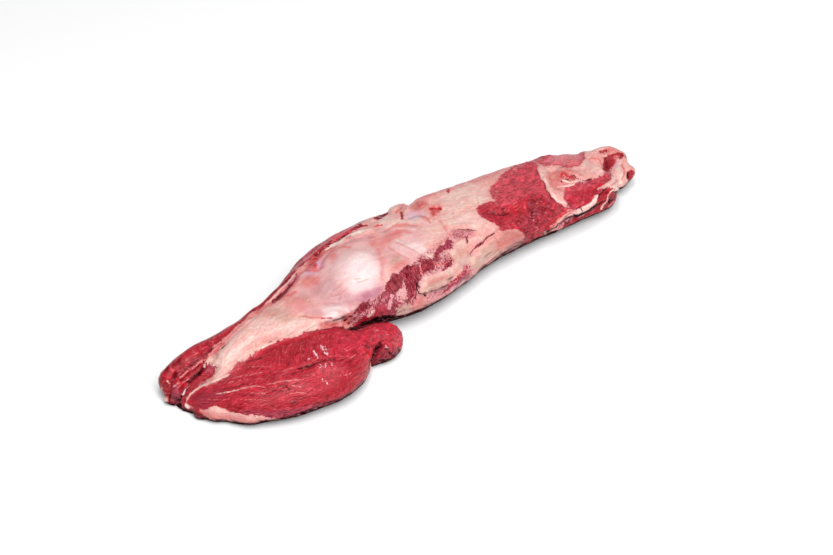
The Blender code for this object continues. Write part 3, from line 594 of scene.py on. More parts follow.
TAIL_LINES = [
    ("cleft", 0.9, 2.0, 0.6, [(488, 210), (494, 213), (502, 215), (510, 213)]),
    ("cleft", 0.6, 1.8, 0.5, [(502, 208), (505, 213)]),
    ("cleft", 0.6, 2.2, 0.6, [(528, 202), (533, 209), (531, 217)], [(519, 220), (524, 228), (527, 237)]),
    ("cleft", 0.6, 2.0, 0.5, [(540, 206), (548, 208), (556, 214)]),
    # Painted highlights on the tail's wet muscle
    ("glint", 0.6, 1.6, 0.4, [(522, 196), (526, 195), (530, 194)]),
    ("glint", 0.5, 1.6, 0.4, [(529, 214), (534, 214)], [(530, 217), (535, 217)]),
    ("glint", 0.45, 1.6, 0.4, [(530, 220), (534, 220)]),
    ("glint", 0.7, 1.4, 0.4, [(546, 212), (547, 217), (551, 221)]),
    ("streak", 0.8, 1.4, 0.6, [(534, 226), (538, 229), (536, 233)], [(512, 204), (518, 202)]),
    ("streak", 0.7, 1.4, 0.6, [(536, 204), (540, 200), (544, 204)], [(552, 206), (556, 210)]),
    ("streak", 0.8, 1.4, 0.7, [(572, 158), (576, 156), (580, 158)]),
    ("cleft", 0.8, 1.8, 0.5, [(543, 182), (547, 190), (552, 198), (559, 204)]),
    ("pale cream", 1.0, 1.4, 0.8, [(539, 170), (542, 177), (547, 185), (551, 193), (558, 200), (565, 203)]),
    ("rosy fat", 0.9, 1.8, 0.7, [(560, 168), (570, 171), (580, 176)]),
    ("blood", 0.9, 1.6, 0.6, [(560, 177), (563, 173), (567, 176)]),
    ("blood", 0.8, 1.6, 0.6, [(568, 179), (571, 175), (574, 178)]),
    ("cleft", 0.6, 1.4, 0.4, [(560, 182), (566, 179), (572, 182)]),
    ("sinew", 0.9, 1.4, 0.6, [(563, 180), (570, 183), (577, 181)]),
    ("sinew", 0.8, 1.4, 0.6, [(558, 187), (566, 186), (574, 185)]),
    ("pink fat", 1.0, 1.8, 2.0, [(546, 233), (556, 226), (562, 219), (568, 214), (576, 212)]),
    ("rosy fat", 0.7, 2.0, 0.8, [(550, 226), (558, 220), (564, 214), (572, 211)]),
    ("cream", 1.0, 1.4, 1.9, [(574, 213), (583, 209), (589, 206), (593, 203), (596, 197)]),
    ("sinew", 1.0, 1.2, 0.8, [(584, 207), (590, 204), (594, 201), (597, 196)]),
    ("strip fat", 0.9, 1.4, 0.8, [(562, 214), (568, 210), (574, 211)]),
    ("blood", 0.8, 1.6, 0.6, [(554, 222), (560, 216), (566, 212)]),
    ("hollow", 0.9, 1.8, 0.7, [(561, 223), (567, 219), (575, 216), (583, 213)]),
    ("cleft", 0.9, 1.6, 0.5, [(576, 209), (580, 207), (582, 211)]),
    ("pale cream", 1.0, 1.4, 1.0, [(598, 190), (603, 187), (608, 184), (612, 181)]),
    ("pale cream", 1.0, 1.2, 0.7, [(601, 209), (602, 205), (606, 201), (607, 195), (611, 191), (618, 190)]),
    ("strip fat", 0.9, 1.4, 0.6, [(608, 208), (612, 203), (618, 200)]),
    ("hollow", 0.8, 1.8, 0.8, [(598, 199), (601, 194), (606, 189)]),
    ("hollow", 0.8, 1.8, 1.0, [(608, 203), (614, 199)]),
    ("pale cream", 1.0, 1.6, 1.0, [(620, 161), (618, 167), (616, 173), (617, 180), (615, 187)]),
    ("lilac film", 1.0, 1.4, 0.8, [(619, 161), (616, 168)]),
    ("cleft", 0.8, 1.6, 0.5, [(608, 176), (613, 175)]),
    ("blush", 0.9, 1.6, 0.6, [(622, 165), (624, 172), (622, 180)]),
    ("blush", 0.7, 1.6, 0.6, [(612, 186), (616, 181)]),
    ("deep muscle", 1.0, 1.8, 1.4, [(601, 151), (606, 150)]),
    ("hollow", 0.8, 1.6, 0.5, [(602, 153), (605, 154)]),
    ("cleft", 0.7, 3.0, 0.9, [(606, 158), (607, 163), (606, 168)]),
    ("hollow", 1.0, 1.6, 0.8, [(629, 173), (629, 178)]),
    ("cleft", 0.7, 1.6, 0.5, [(572, 174), (577, 178), (584, 180), (592, 179)]),
    ("cleft", 0.6, 1.6, 0.4, [(584, 159), (588, 155), (592, 157)]),
    ("blush", 0.7, 1.6, 0.5, [(590, 158), (598, 159), (602, 164)]),
]
LINES = HEAD_LINES + LOBE_LINES + DOME_LINES + MIDDLE_LINES + TAIL_LINES

# Carving on the chart: reach to each side, height in millimetres (a crease is below zero), paths
CARVING = [
    (2.5, -1.6, [(206, 357), (196, 366), (186, 372), (180, 378)]),
    (2.5, -1.0, [(222, 341), (212, 347), (203, 353)], [(451, 229), (461, 228), (468, 230), (478, 228)]),
    (3.0, -2.4, [(204, 366), (200, 372), (193, 378), (188, 382)]),
    (4.0, -5.0, [(187, 384), (182, 389), (179, 396), (178, 403), (179, 410)]),
    (3.0, -3.5, [(170, 382), (169, 392), (169, 400)]),
    (2.5, -2.5, [(172, 380), (175, 377), (176, 373)]),
    (2.2, 1.4, [(188, 383), (185, 388), (183, 394)]),
    (2.2, 1.0, [(158, 388), (160, 396), (166, 401)]),
    (2.5, 0.8, [(222, 378), (203, 386), (190, 394), (187, 400), (187, 407)]),
    (2.2, 0.8, [(210, 359), (206, 364), (203, 369)]),
    (2.5, -1.2, [(215, 352), (221, 348), (227, 343)], [(467, 236), (468, 243)]),
    (2.2, 0.7, [(212, 350), (224, 340), (236, 331), (248, 321)]),
    (2.5, -0.7, [(266, 344), (273, 341), (280, 340)]),
    (2.5, 1.0, [(262, 348), (270, 346), (277, 343)]),
    (2.6, -2.0, [(300, 369), (310, 366), (318, 361), (330, 359), (342, 359)]),
    (6.0, 1.2, [(304, 375), (318, 368), (332, 366), (346, 366)]),
    (3.5, -2.5, [(380, 345), (376, 351), (375, 356), (372, 361), (371, 367)]),
    (3.5, -1.5, [(386, 350), (390, 356)]),
    (3.0, 1.0, [(386, 344), (390, 351)]),
    (4.0, 1.0, [(362, 352), (370, 358)], [(332, 312), (342, 314)]),
    (3.0, -1.2,
        [(346, 328), (354, 330), (364, 326), (374, 322)], [(321, 266), (324, 259), (328, 254), (334, 249)],
        [(304, 270), (312, 271), (318, 270), (322, 265)]),
    (2.5, -0.9, [(300, 315), (310, 317), (320, 319), (331, 319)]),
    (3.0, -1.0, [(334, 249), (344, 243), (354, 240), (368, 238)]),
    (2.5, 0.8, [(275, 295), (285, 286), (294, 277), (303, 268), (312, 262)]),
    (3.0, -1.6,
        [(272, 302), (281, 296), (290, 287), (296, 277)],
        [(472, 254), (478, 246), (486, 240), (494, 234), (500, 230)],
        [(488, 211), (496, 214), (506, 214), (514, 210), (524, 208)],
        [(546, 184), (549, 193), (556, 200), (566, 206)], [(568, 173), (576, 178), (582, 181), (592, 180)]),
    (3.0, -1.5, [(316, 256), (321, 250), (328, 244), (338, 240), (347, 234)]),
    (2.5, 1.0,
        [(322, 252), (328, 247), (340, 241), (350, 235), (360, 232), (372, 231)],
        [(562, 169), (572, 172), (580, 176)]),
    (3.0, -0.5, [(326, 303), (338, 303), (348, 307), (352, 312)]),
    (3.0, -1.0, [(356, 312), (359, 308), (364, 302)]),
    (3.0, -1.8, [(374, 221), (382, 217), (388, 211)]),
    (3.0, -2.2, [(400, 206), (402, 218)], [(422, 279), (418, 285), (419, 292), (425, 295)]),
    (4.0, 1.2, [(391, 211), (397, 210)], [(407, 210), (414, 207)]),
    (3.0, -1.2,
        [(406, 219), (416, 214), (428, 218)], [(492, 206), (502, 206), (512, 203)],
        [(528, 204), (534, 210), (532, 217)], [(518, 222), (524, 228), (528, 237)],
        [(540, 206), (548, 208), (556, 214)]),
    (2.5, 1.2, [(417, 203), (419, 207), (423, 205)]),
    (2.5, -1.5, [(430, 208), (437, 207), (443, 210)], [(447, 188), (448, 193)]),
    (3.0, -0.8, [(384, 231), (396, 226), (408, 224), (420, 226)]),
    (3.0, -0.4, [(392, 236), (404, 240), (416, 246), (430, 253)]),
    (3.0, -0.7, [(388, 246), (398, 253), (410, 259)]),
    (3.0, 0.4, [(388, 241), (402, 246), (414, 252), (424, 258)]),
    (3.0, 0.8, [(452, 226), (462, 225), (476, 225)]),
    (5.0, 1.4, [(424, 286), (436, 280), (450, 275)]),
    (5.0, 1.2, [(476, 262), (486, 252), (496, 244)]),
    (6.0, 1.0, [(502, 238), (514, 236)]),
    (3.0, 1.0, [(524, 216), (530, 224)], [(540, 212), (546, 220)]),
    (3.5, 1.4, [(540, 168), (543, 177), (548, 186), (553, 194)]),
    (3.0, 1.8, [(548, 229), (556, 224), (562, 217), (568, 212), (574, 212)]),
    (3.0, 2.0, [(576, 213), (584, 210), (590, 206), (594, 203), (597, 197)]),
    (3.0, -2.4, [(560, 225), (568, 220), (576, 218)], [(601, 151), (606, 150)]),
    (3.0, -2.2, [(598, 199), (603, 193), (607, 188)]),
    (2.5, 1.6, [(598, 191), (604, 188), (608, 185), (612, 181)]),
    (2.4, 1.6, [(601, 209), (602, 205), (606, 201), (607, 195), (611, 191), (618, 190)]),
    (3.0, 1.6, [(621, 159), (620, 166), (618, 172), (617, 180), (614, 188)]),
    (2.5, -1.6, [(616, 160), (613, 168), (612, 175)]),
    (4.0, -1.6, [(606, 159), (607, 164), (606, 168)]),
    (3.0, -2.8, [(629, 173), (629, 177)]),
]

# The front lobe, whose fibres run between two chart lines from its tip to its stub
LOBE_OUTLINE = [
    (184, 400), (190, 393), (211, 382), (222, 376), (234, 364), (254, 351), (278, 339), (316, 328),
    (350, 330), (381, 319), (410, 326), (412, 345), (392, 368), (374, 376), (362, 394), (340, 414),
    (300, 428), (262, 436), (226, 434), (198, 416)]
LOBE_ABOVE = [
    (184, 398), (224, 376), (254, 352), (278, 339), (316, 328), (350, 326), (381, 318), (410, 322)]
LOBE_BELOW = [
    (184, 402), (200, 414), (226, 424), (262, 428), (300, 420), (340, 408), (372, 376), (410, 352)]
LOBE_WIDTH = 95.0         # millimetres over the lobe from one line to the other
LOBE_SCALE = 1.1          # millimetres along the lobe for one pixel
LOBE_SHIFT = 500.0        # sets its fibre pattern apart from the body's

# Where the front lobe's fibres show cut across: strength, softness, outline
CROSS_FIELDS = [
    (1.0, 10, [
        (266, 350), (300, 338), (334, 331), (344, 344), (336, 358), (318, 360), (298, 366), (276, 366)]),
    (0.8, 8, [(314, 364), (326, 361), (336, 366), (334, 376), (322, 380), (314, 374)]),
    (0.6, 10, [(322, 384), (346, 378), (360, 378), (350, 394), (330, 402), (318, 398)]),
    (1.0, 10, [
        (352, 312), (376, 292), (400, 262), (440, 238), (480, 228), (472, 276), (424, 300), (380, 322)]),
]

# Where the muscle is mottled and shows no fibres: strength, softness, outline
MOTTLED_FIELDS = [
    (0.9, 10, [(350, 330), (386, 318), (412, 330), (410, 352), (392, 368), (370, 372), (356, 352)]),
    (0.85, 8, [(480, 205), (512, 160), (590, 140), (612, 172), (600, 205), (540, 250), (500, 232)]),
]


def chart_axes():
    """Right, up and forward of the camera."""
    forward = (CAMERA_AIM - CAMERA_PLACE).normalized()
    right = forward.cross(Vector((0, 0, 1))).normalized()
    return right, right.cross(forward), forward


def on_chart(points):
    """Where the camera sees each point, in pixels of the picture."""
    right, up, forward = [np.array(axis) for axis in chart_axes()]
    from_camera = points * MM - np.array(CAMERA_PLACE)
    depth = from_camera @ forward
    across = PICTURE[0] / 2 + FOCAL_PIXELS * (from_camera @ right) / depth
    down = PICTURE[1] / 2 - FOCAL_PIXELS * (from_camera @ up) / depth
    return np.stack([across, down], 1)


def smooth_noise(places, spacing, shift=0.0):
    """Smooth noise between about -1 and 1. The shift picks one of many patterns."""
    return np.array([noise.noise(Vector(place)) for place in places / spacing + shift])


def ridged(values):
    """Sharp ridges where smooth noise passes zero, from about -1 to 1."""
    return 1 - 3 * np.abs(values)


def ease(values, low, high):
    """0 below low, 1 above high and a smooth step between."""
    share = np.clip((values - low) / (high - low), 0, 1)
    return share * share * (3 - 2 * share)


def distance_to_path(places, path):
    """Distance of each place to the nearest straight step of a path."""
    path = np.array(path, float)
    nearest = np.full(len(places), np.inf)
    for start, end in zip(path, path[1:]):
        step = end - start
        share = np.clip((places - start) @ step / (step @ step), 0, 1)
        nearest = np.minimum(nearest, np.linalg.norm(places - start - share[:, None] * step, axis=1))
    return nearest


def inside(places, outline):
    """True for each place inside a closed outline."""
    outline = np.array(outline, float)
    within = np.zeros(len(places), bool)
    x, y = places.T
    for (x0, y0), (x1, y1) in zip(outline, np.roll(outline, -1, axis=0)):
        if y0 == y1:
            continue
        crosses = (y0 > y) != (y1 > y)
        within ^= crosses & (x < x0 + (y - y0) * (x1 - x0) / (y1 - y0))
    return within


def field_share(places, outline, soft):
    """How far each place lies inside an outline: 1 well inside, 0 outside."""
    share = np.zeros(len(places))
    corners = np.array(outline, float)
    low, high = corners.min(0) - soft, corners.max(0) + soft
    near = np.where(((places > low) & (places < high)).all(1))[0]
    close = places[near]
    distance = distance_to_path(close, outline + outline[:1])
    signed = np.where(inside(close, outline), distance, -distance)
    share[near] = ease(signed, -soft / 2, soft / 2)
    return share


def line_share(places, path, half_width, soft):
    """1 on a path of the given half width, 0 away from it."""
    share = np.zeros(len(places))
    corners = np.array(path, float)
    reach = half_width + soft
    near = np.where(((places > corners.min(0) - reach) & (places < corners.max(0) + reach)).all(1))[0]
    distance = distance_to_path(places[near], path)
    share[near] = 1 - ease(distance, half_width - soft / 2, half_width + soft / 2)
    return share


class Surface:
    """The fine surface's points in millimetres, with what is worked out for each."""

    def __init__(self, piece, low, high):
        self.mesh = piece.data
        self.low = np.array(low) / MM
        self.high = np.array(high) / MM
        self.read()
        edges = np.empty(len(self.mesh.edges) * 2, int)
        self.mesh.edges.foreach_get("vertices", edges)
        self.edges = edges.reshape(-1, 2)
        self.degree = np.bincount(edges, minlength=len(self.points))

    def read(self):
        points = np.empty(len(self.mesh.vertices) * 3)
        self.mesh.vertices.foreach_get("co", points)
        normals = np.empty(len(self.mesh.vertices) * 3)
        self.mesh.vertices.foreach_get("normal", normals)
        self.points = points.reshape(-1, 3) / MM
        self.normals = normals.reshape(-1, 3)

    def lift(self, height):
        """Moves each point along its normal, but never out of the solid's box."""
        moved = np.clip(self.points + self.normals * height[:, None], self.low, self.high)
        self.mesh.vertices.foreach_set("co", (moved * MM).ravel())
        self.mesh.update()
        self.read()

    def spread(self, values, passes):
        """Values averaged with those of neighbouring points."""
        first, second = self.edges.T
        for _ in range(passes):
            total = np.bincount(first, values[second], len(values))
            total += np.bincount(second, values[first], len(values))
            values = (values + total / self.degree) / 2
        return values

    def tree(self):
        polygons = [tuple(polygon.vertices) for polygon in self.mesh.polygons]
        return BVHTree.FromPolygons([Vector(point) for point in self.points], polygons)

    def sheltered(self):
        """1 deep in a crevice, where the surface faces itself closely, 0 in the open."""
        tree = self.tree()
        share = np.zeros(len(self.points))
        for i in range(len(self.points)):
            direction = Vector(self.normals[i])
            start = Vector(self.points[i]) + RAY_START * direction
            hit = tree.ray_cast(start, direction, CREVICE_SHADE_DEPTH)
            if hit[0] is not None:
                share[i] = 1 - hit[3] / CREVICE_SHADE_DEPTH
        return self.spread(share, 3)

    def seen(self):
        """1 where the camera sees the point or one beside it, 0 where it is well hidden."""
        tree = self.tree()
        camera = np.array(CAMERA_PLACE) / MM
        ray = camera - self.points
        ray /= np.linalg.norm(ray, axis=1)[:, None]
        facing = (ray * self.normals).sum(1)
        clear = np.zeros(len(self.points))
        for i in np.where(facing > 0)[0]:
            start = Vector(self.points[i] + self.normals[i] + ray[i])
            clear[i] = tree.ray_cast(start, Vector(ray[i]), CLEAR_RAY)[0] is None
        return ease(self.spread(clear, 4), 0.05, 0.4)


class Paint:
    """Two coats for every point, muscle and fat, with the share of fat and of silver skin."""

    def __init__(self, count, lean_ink, fat_ink):
        self.lean = np.tile(np.array(LEAN_INKS[lean_ink], float), (count, 1))
        self.cover = np.tile(np.array(FAT_INKS[fat_ink][:3], float), (count, 1))
        self.fat = np.zeros(count)
        self.film = np.zeros(count)

    def lay(self, ink, share):
        """Lays one ink over the coats. A coat that was hidden takes the ink's full colour."""
        full = np.clip(4 * share, 0, 1)
        lean_ink, fat_ink, fat = ink, ink, 0.0
        if ink in MIXED_INKS:
            lean_ink, fat_ink, fat = MIXED_INKS[ink]
        elif ink in FAT_INKS:
            fat = 1.0
        if fat < 1:
            hold = share + (full - share) * self.fat
            self.lean += hold[:, None] * (np.array(LEAN_INKS[lean_ink]) - self.lean)
        if fat > 0:
            hold = share + (full - share) * (1 - self.fat)
            self.cover += hold[:, None] * (np.array(FAT_INKS[fat_ink][:3]) - self.cover)
            self.film += share * (FAT_INKS[fat_ink][3] - self.film)
        self.fat += share * (fat - self.fat)

    def blend(self, other, share):
        """Takes over another paint by the given share."""
        self.lean += share[:, None] * (other.lean - self.lean)
        self.cover += share[:, None] * (other.cover - self.cover)
        self.fat += share * (other.fat - self.fat)
        self.film += share * (other.film - self.film)

    def darken(self, share, tint):
        """Paints shade on both coats, down to their colour times the tint where the share is 1."""
        keep = 1 - share[:, None] * (1 - np.array(tint))
        self.lean *= keep
        self.cover *= keep


def fine_copy(node, name):
    """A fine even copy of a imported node's surface, free of its facets."""
    piece = bpy.data.objects.new(name, node.data.copy())
    bpy.context.scene.collection.objects.link(piece)
    remesh = piece.modifiers.new("even", "REMESH")
    remesh.mode = "VOXEL"
    remesh.voxel_size = SURFACE_STEP * MM
    relax = piece.modifiers.new("relax", "SMOOTH")
    relax.factor = RELAX_FACTOR
    relax.iterations = RELAX_PASSES
    take_modifiers(piece)
    return piece


def take_modifiers(piece):
    graph = bpy.context.evaluated_depsgraph_get()
    mesh = bpy.data.meshes.new_from_object(piece.evaluated_get(graph))
    piece.modifiers.clear()
    piece.data = mesh


def thin_hidden(piece):
    """Fewer triangles on the flat underside and on the side turned away from the camera."""
    away = (CAMERA_AIM - CAMERA_PLACE).normalized()
    hidden = [vertex.index for vertex in piece.data.vertices
              if vertex.co.z < BASE_TOP * MM or vertex.normal.dot(away) > AWAY_SHARE]
    group = piece.vertex_groups.new(name="hidden")
    group.add(hidden, 1.0, "REPLACE")
    thin = piece.modifiers.new("thin", "DECIMATE")
    thin.vertex_group = "hidden"
    thin.ratio = 1 - len(hidden) / len(piece.data.vertices) * (1 - HIDDEN_SHARE)
    take_modifiers(piece)
    piece.vertex_groups.clear()


def carve(surface, chart, seen):
    """Creases and ridges along the chart's paths, where the camera sees them."""
    height = np.zeros(len(surface.points))
    for reach, depth, *paths in CARVING:
        for path in paths:
            height += depth * line_share(chart, path, reach / 2, reach)
    surface.lift(height * seen)


def body_grain(points):
    """Fibre places along the meat and round it, in millimetres."""
    along = points[:, 0]
    round_angle = np.arctan2(points[:, 1], points[:, 2] - GRAIN_AXIS_HEIGHT)
    return np.stack([along, round_angle * GRAIN_RADIUS], 1)


def lobe_grain(chart):
    """Fibre places in the front lobe: along it, and across between its two edges."""
    above = np.interp(chart[:, 0], *np.array(LOBE_ABOVE, float).T)
    below = np.interp(chart[:, 0], *np.array(LOBE_BELOW, float).T)
    share = (chart[:, 1] - above) / (below - above)
    return np.stack([chart[:, 0] * LOBE_SCALE, share * LOBE_WIDTH], 1) + LOBE_SHIFT


def hidden_paint(points):
    """Paint for what the camera doesn't see: muscle, with patches of fat and film."""
    paint = Paint(len(points), "deep muscle", "pink fat")
    along = points[:, 0]
    stretched = points * (0.5, 1, 1)
    middle = ease(along, *HIDDEN_FAT_START) * (1 - ease(along, *HIDDEN_FAT_END))
    patches = smooth_noise(stretched, 26) + 0.5 * smooth_noise(points, 9, 3.7)
    paint.lay("pink fat", ease(patches + 0.5 * middle - 0.3, -0.2, 0.2))
    paint.lay("marbled", 0.9 * ease(smooth_noise(stretched, 30, 71.3), 0.15, 0.4))
    paint.lay("cream", 0.8 * ease(smooth_noise(stretched, 22, 31.7) + 0.4 * middle, 0.35, 0.6) * paint.fat)
    paint.lay("muscle", 0.8 * ease(smooth_noise(stretched, 17, 93.1), 0.1, 0.5) * (1 - paint.fat))
    lobe_back = 1 - ease(np.abs(along - LOBE_BACK_MIDDLE), *LOBE_BACK_REACH)
    lobe_back = lobe_back * (1 - ease(points[:, 1], *LOBE_BACK_SIDE))
    paint.lay("deep muscle", lobe_back * ease(points[:, 2], *LOBE_BACK_BASE))
    return paint


def paint_surface(surface, chart, seen):
    """The two coats of every point."""
    points = surface.points
    warp = np.zeros((len(points), 2))
    for spacing, reach in WANDER:
        warp[:, 0] += reach * smooth_noise(points, spacing, 11.3)
        warp[:, 1] += reach * smooth_noise(points, spacing, 47.9)
    paint = Paint(len(points), "muscle", "pink fat")
    for ink, strength, soft, outline in FIELDS:
        paint.lay(ink, strength * field_share(chart + warp, outline, soft))
    for ink, strength, soft, half_width, *paths in LINES:
        for path in paths:
            paint.lay(ink, strength * line_share(chart + LINE_WANDER * warp, path, half_width, soft))
    paint.blend(hidden_paint(points), 1 - seen)
    return paint


def sum_of_fields(chart, fields):
    """The strongest of some fields at each place."""
    share = np.zeros(len(chart))
    for strength, soft, outline in fields:
        share = np.maximum(share, strength * field_share(chart, outline, soft))
    return share


def surface_relief(surface, paint, grain, cross, mottled):
    """Fibre bundles in the bare muscle, crumples and lumps in the fat, as true relief."""
    points = surface.points
    flat_grain = np.column_stack([grain, np.zeros(len(grain))])
    lengthways = smooth_noise(flat_grain * (0.14, 1, 1), 3.2)
    crossways = smooth_noise(flat_grain * (1, 0.18, 1), 3.0, 5.1)
    blotches = smooth_noise(points, 3.4, 17.7) + 0.6 * ridged(smooth_noise(points, 7.0, 23.1))
    bundles = lengthways + cross * (crossways - lengthways)
    bundles = bundles + mottled * (blotches - bundles)
    lumps = smooth_noise(points, 7.0, 8.3) + 0.5 * smooth_noise(points, 3.2, 2.9)
    flow = np.column_stack([body_grain(points), np.zeros(len(points))])
    crumples = ridged(smooth_noise(flow * (0.45, 1, 1), 8.0, 61.0))
    crumples = crumples + 0.5 * ridged(smooth_noise(points, 4.5, 41.0))
    fat = paint.fat
    height = (1 - fat) * (FIBRE_RELIEF + MOTTLED_RELIEF * mottled) * bundles
    height += fat * (1 - 0.75 * paint.film) * (LUMP_RELIEF * lumps + CRUMPLE_RELIEF * crumples)
    height += fat * paint.film * FILM_RELIEF * crumples
    surface.lift(height * ease(points[:, 2], 0.5, 4.0))


def to_linear(codes):
    """Linear light from 0 to 255 colour codes."""
    share = np.clip(codes / 255, 0, 1)
    return np.where(share <= 0.04045, share / 12.92, ((share + 0.055) / 1.055) ** 2.4)


def store(mesh, name, kind, values):
    """Keeps a value for each point of the mesh, for the material to read."""
    slot = mesh.attributes.new(name, kind, "POINT")
    field = {"FLOAT": "value", "FLOAT_VECTOR": "vector", "FLOAT_COLOR": "color"}[kind]
    slot.data.foreach_set(field, np.ascontiguousarray(values, np.float32).ravel())


def store_colour(mesh, name, codes):
    opaque = np.ones(len(codes))
    store(mesh, name, "FLOAT_COLOR", np.column_stack([INK_STRENGTH * to_linear(codes), opaque]))


def store_place(mesh, name, places):
    store(mesh, name, "FLOAT_VECTOR", np.column_stack([places, np.zeros(len(places))]))


class Nodes:
    """Short calls for building a material's node tree."""

    def __init__(self, material):
        material.use_nodes = True
        self.tree = material.node_tree
        self.shader = self.tree.nodes["Principled BSDF"]

    def add(self, kind, settings=None, **inputs):
        made = self.tree.nodes.new(kind)
        for key, value in (settings or {}).items():
            setattr(made, key, value)
        for key, value in inputs.items():
            self.plug(made, key.replace("_", " "), value)
        return made

    def plug(self, made, key, value):
        socket = made.inputs[int(key[1:])] if key[0] == "n" and key[1:].isdigit() else made.inputs[key]
        if isinstance(value, bpy.types.NodeSocket):
            self.tree.links.new(value, socket)
        else:
            socket.default_value = value

    def attribute(self, name, output="Fac"):
        return self.add("ShaderNodeAttribute", {"attribute_name": name}).outputs[output]

    def math(self, operation, first, second=0.0):
        return self.add("ShaderNodeMath", {"operation": operation}, n0=first, n1=second).outputs[0]

    def product(self, *factors):
        total = factors[0]
        for factor in factors[1:]:
            total = self.math("MULTIPLY", total, factor)
        return total

    def total(self, *terms):
        total = terms[0]
        for term in terms[1:]:
            total = self.math("ADD", total, term)
        return total

    def weighted(self, *pairs):
        """The sum of values, each times its weight."""
        return self.total(*[self.math("MULTIPLY", value, weight) for value, weight in pairs])

    def scaled(self, vector, scale):
        return self.add("ShaderNodeVectorMath", {"operation": "MULTIPLY"}, n0=vector, n1=scale).outputs[0]

    def moved(self, vector, by):
        return self.add("ShaderNodeVectorMath", {"operation": "ADD"}, n0=vector, n1=by).outputs[0]

    def noise(self, vector, scale, detail, roughness):
        settings = {"Vector": vector, "Scale": scale, "Detail": detail, "Roughness": roughness}
        return self.add("ShaderNodeTexNoise", None, **settings).outputs["Fac"]

    def grain(self, vector, stretch, detail, roughness):
        """Noise whose scale differs along and across the fibres."""
        return self.noise(self.scaled(vector, (*stretch, 1)), 1.0, detail, roughness)

    def cell_tones(self, vector):
        """A random tone from 0 to 1 for each cell of a flat pattern."""
        made = self.add("ShaderNodeTexVoronoi", {"voronoi_dimensions": "2D"}, Vector=vector, Scale=1.0)
        return self.add("ShaderNodeSeparateColor", None, n0=made.outputs["Color"]).outputs[0]

    def cell_walls(self, vector, thin):
        """1 on the walls between the cells of a solid pattern, 0 away from them."""
        settings = {"voronoi_dimensions": "3D", "feature": "DISTANCE_TO_EDGE"}
        made = self.add("ShaderNodeTexVoronoi", settings, Vector=vector, Scale=1.0)
        return self.span(made.outputs["Distance"], 0.0, thin, 1.0, 0.0)

    def folds(self, value):
        """Thin ridges where a noise passes its middle."""
        return self.span(self.math("ABSOLUTE", self.math("SUBTRACT", value, 0.5)), 0.0, 0.05, 1.0, 0.0)

    def span(self, value, low, high, to_low=0.0, to_high=1.0):
        made = self.add("ShaderNodeMapRange", {"interpolation_type": "SMOOTHSTEP"})
        for key, number in (("Value", value), ("From Min", low), ("From Max", high), ("To Min", to_low),
                            ("To Max", to_high)):
            self.plug(made, key, number)
        return made.outputs["Result"]

    def mix(self, share, first, second, blend="MIX"):
        made = self.add("ShaderNodeMix", {"data_type": "RGBA", "blend_type": blend})
        self.plug(made, "n0", share)
        self.plug(made, "n6", first)
        self.plug(made, "n7", second)
        return made.outputs[2]

    def blend(self, share, first, second):
        made = self.add("ShaderNodeMix", {"data_type": "FLOAT"})
        self.plug(made, "n0", share)
        self.plug(made, "n2", first)
        self.plug(made, "n3", second)
        return made.outputs[0]

    def times(self, colour, other):
        return self.mix(1.0, colour, other, "MULTIPLY")

    def tinted(self, colour, tone):
        """A colour made lighter or darker by a tone round 1."""
        grey = self.add("ShaderNodeCombineColor", None, n0=tone, n1=tone, n2=tone).outputs[0]
        return self.times(colour, grey)

    def dyed(self, share, colour, dye):
        """A colour that takes on a dye where the share is high."""
        return self.mix(share, colour, self.times(colour, (*dye, 1)))


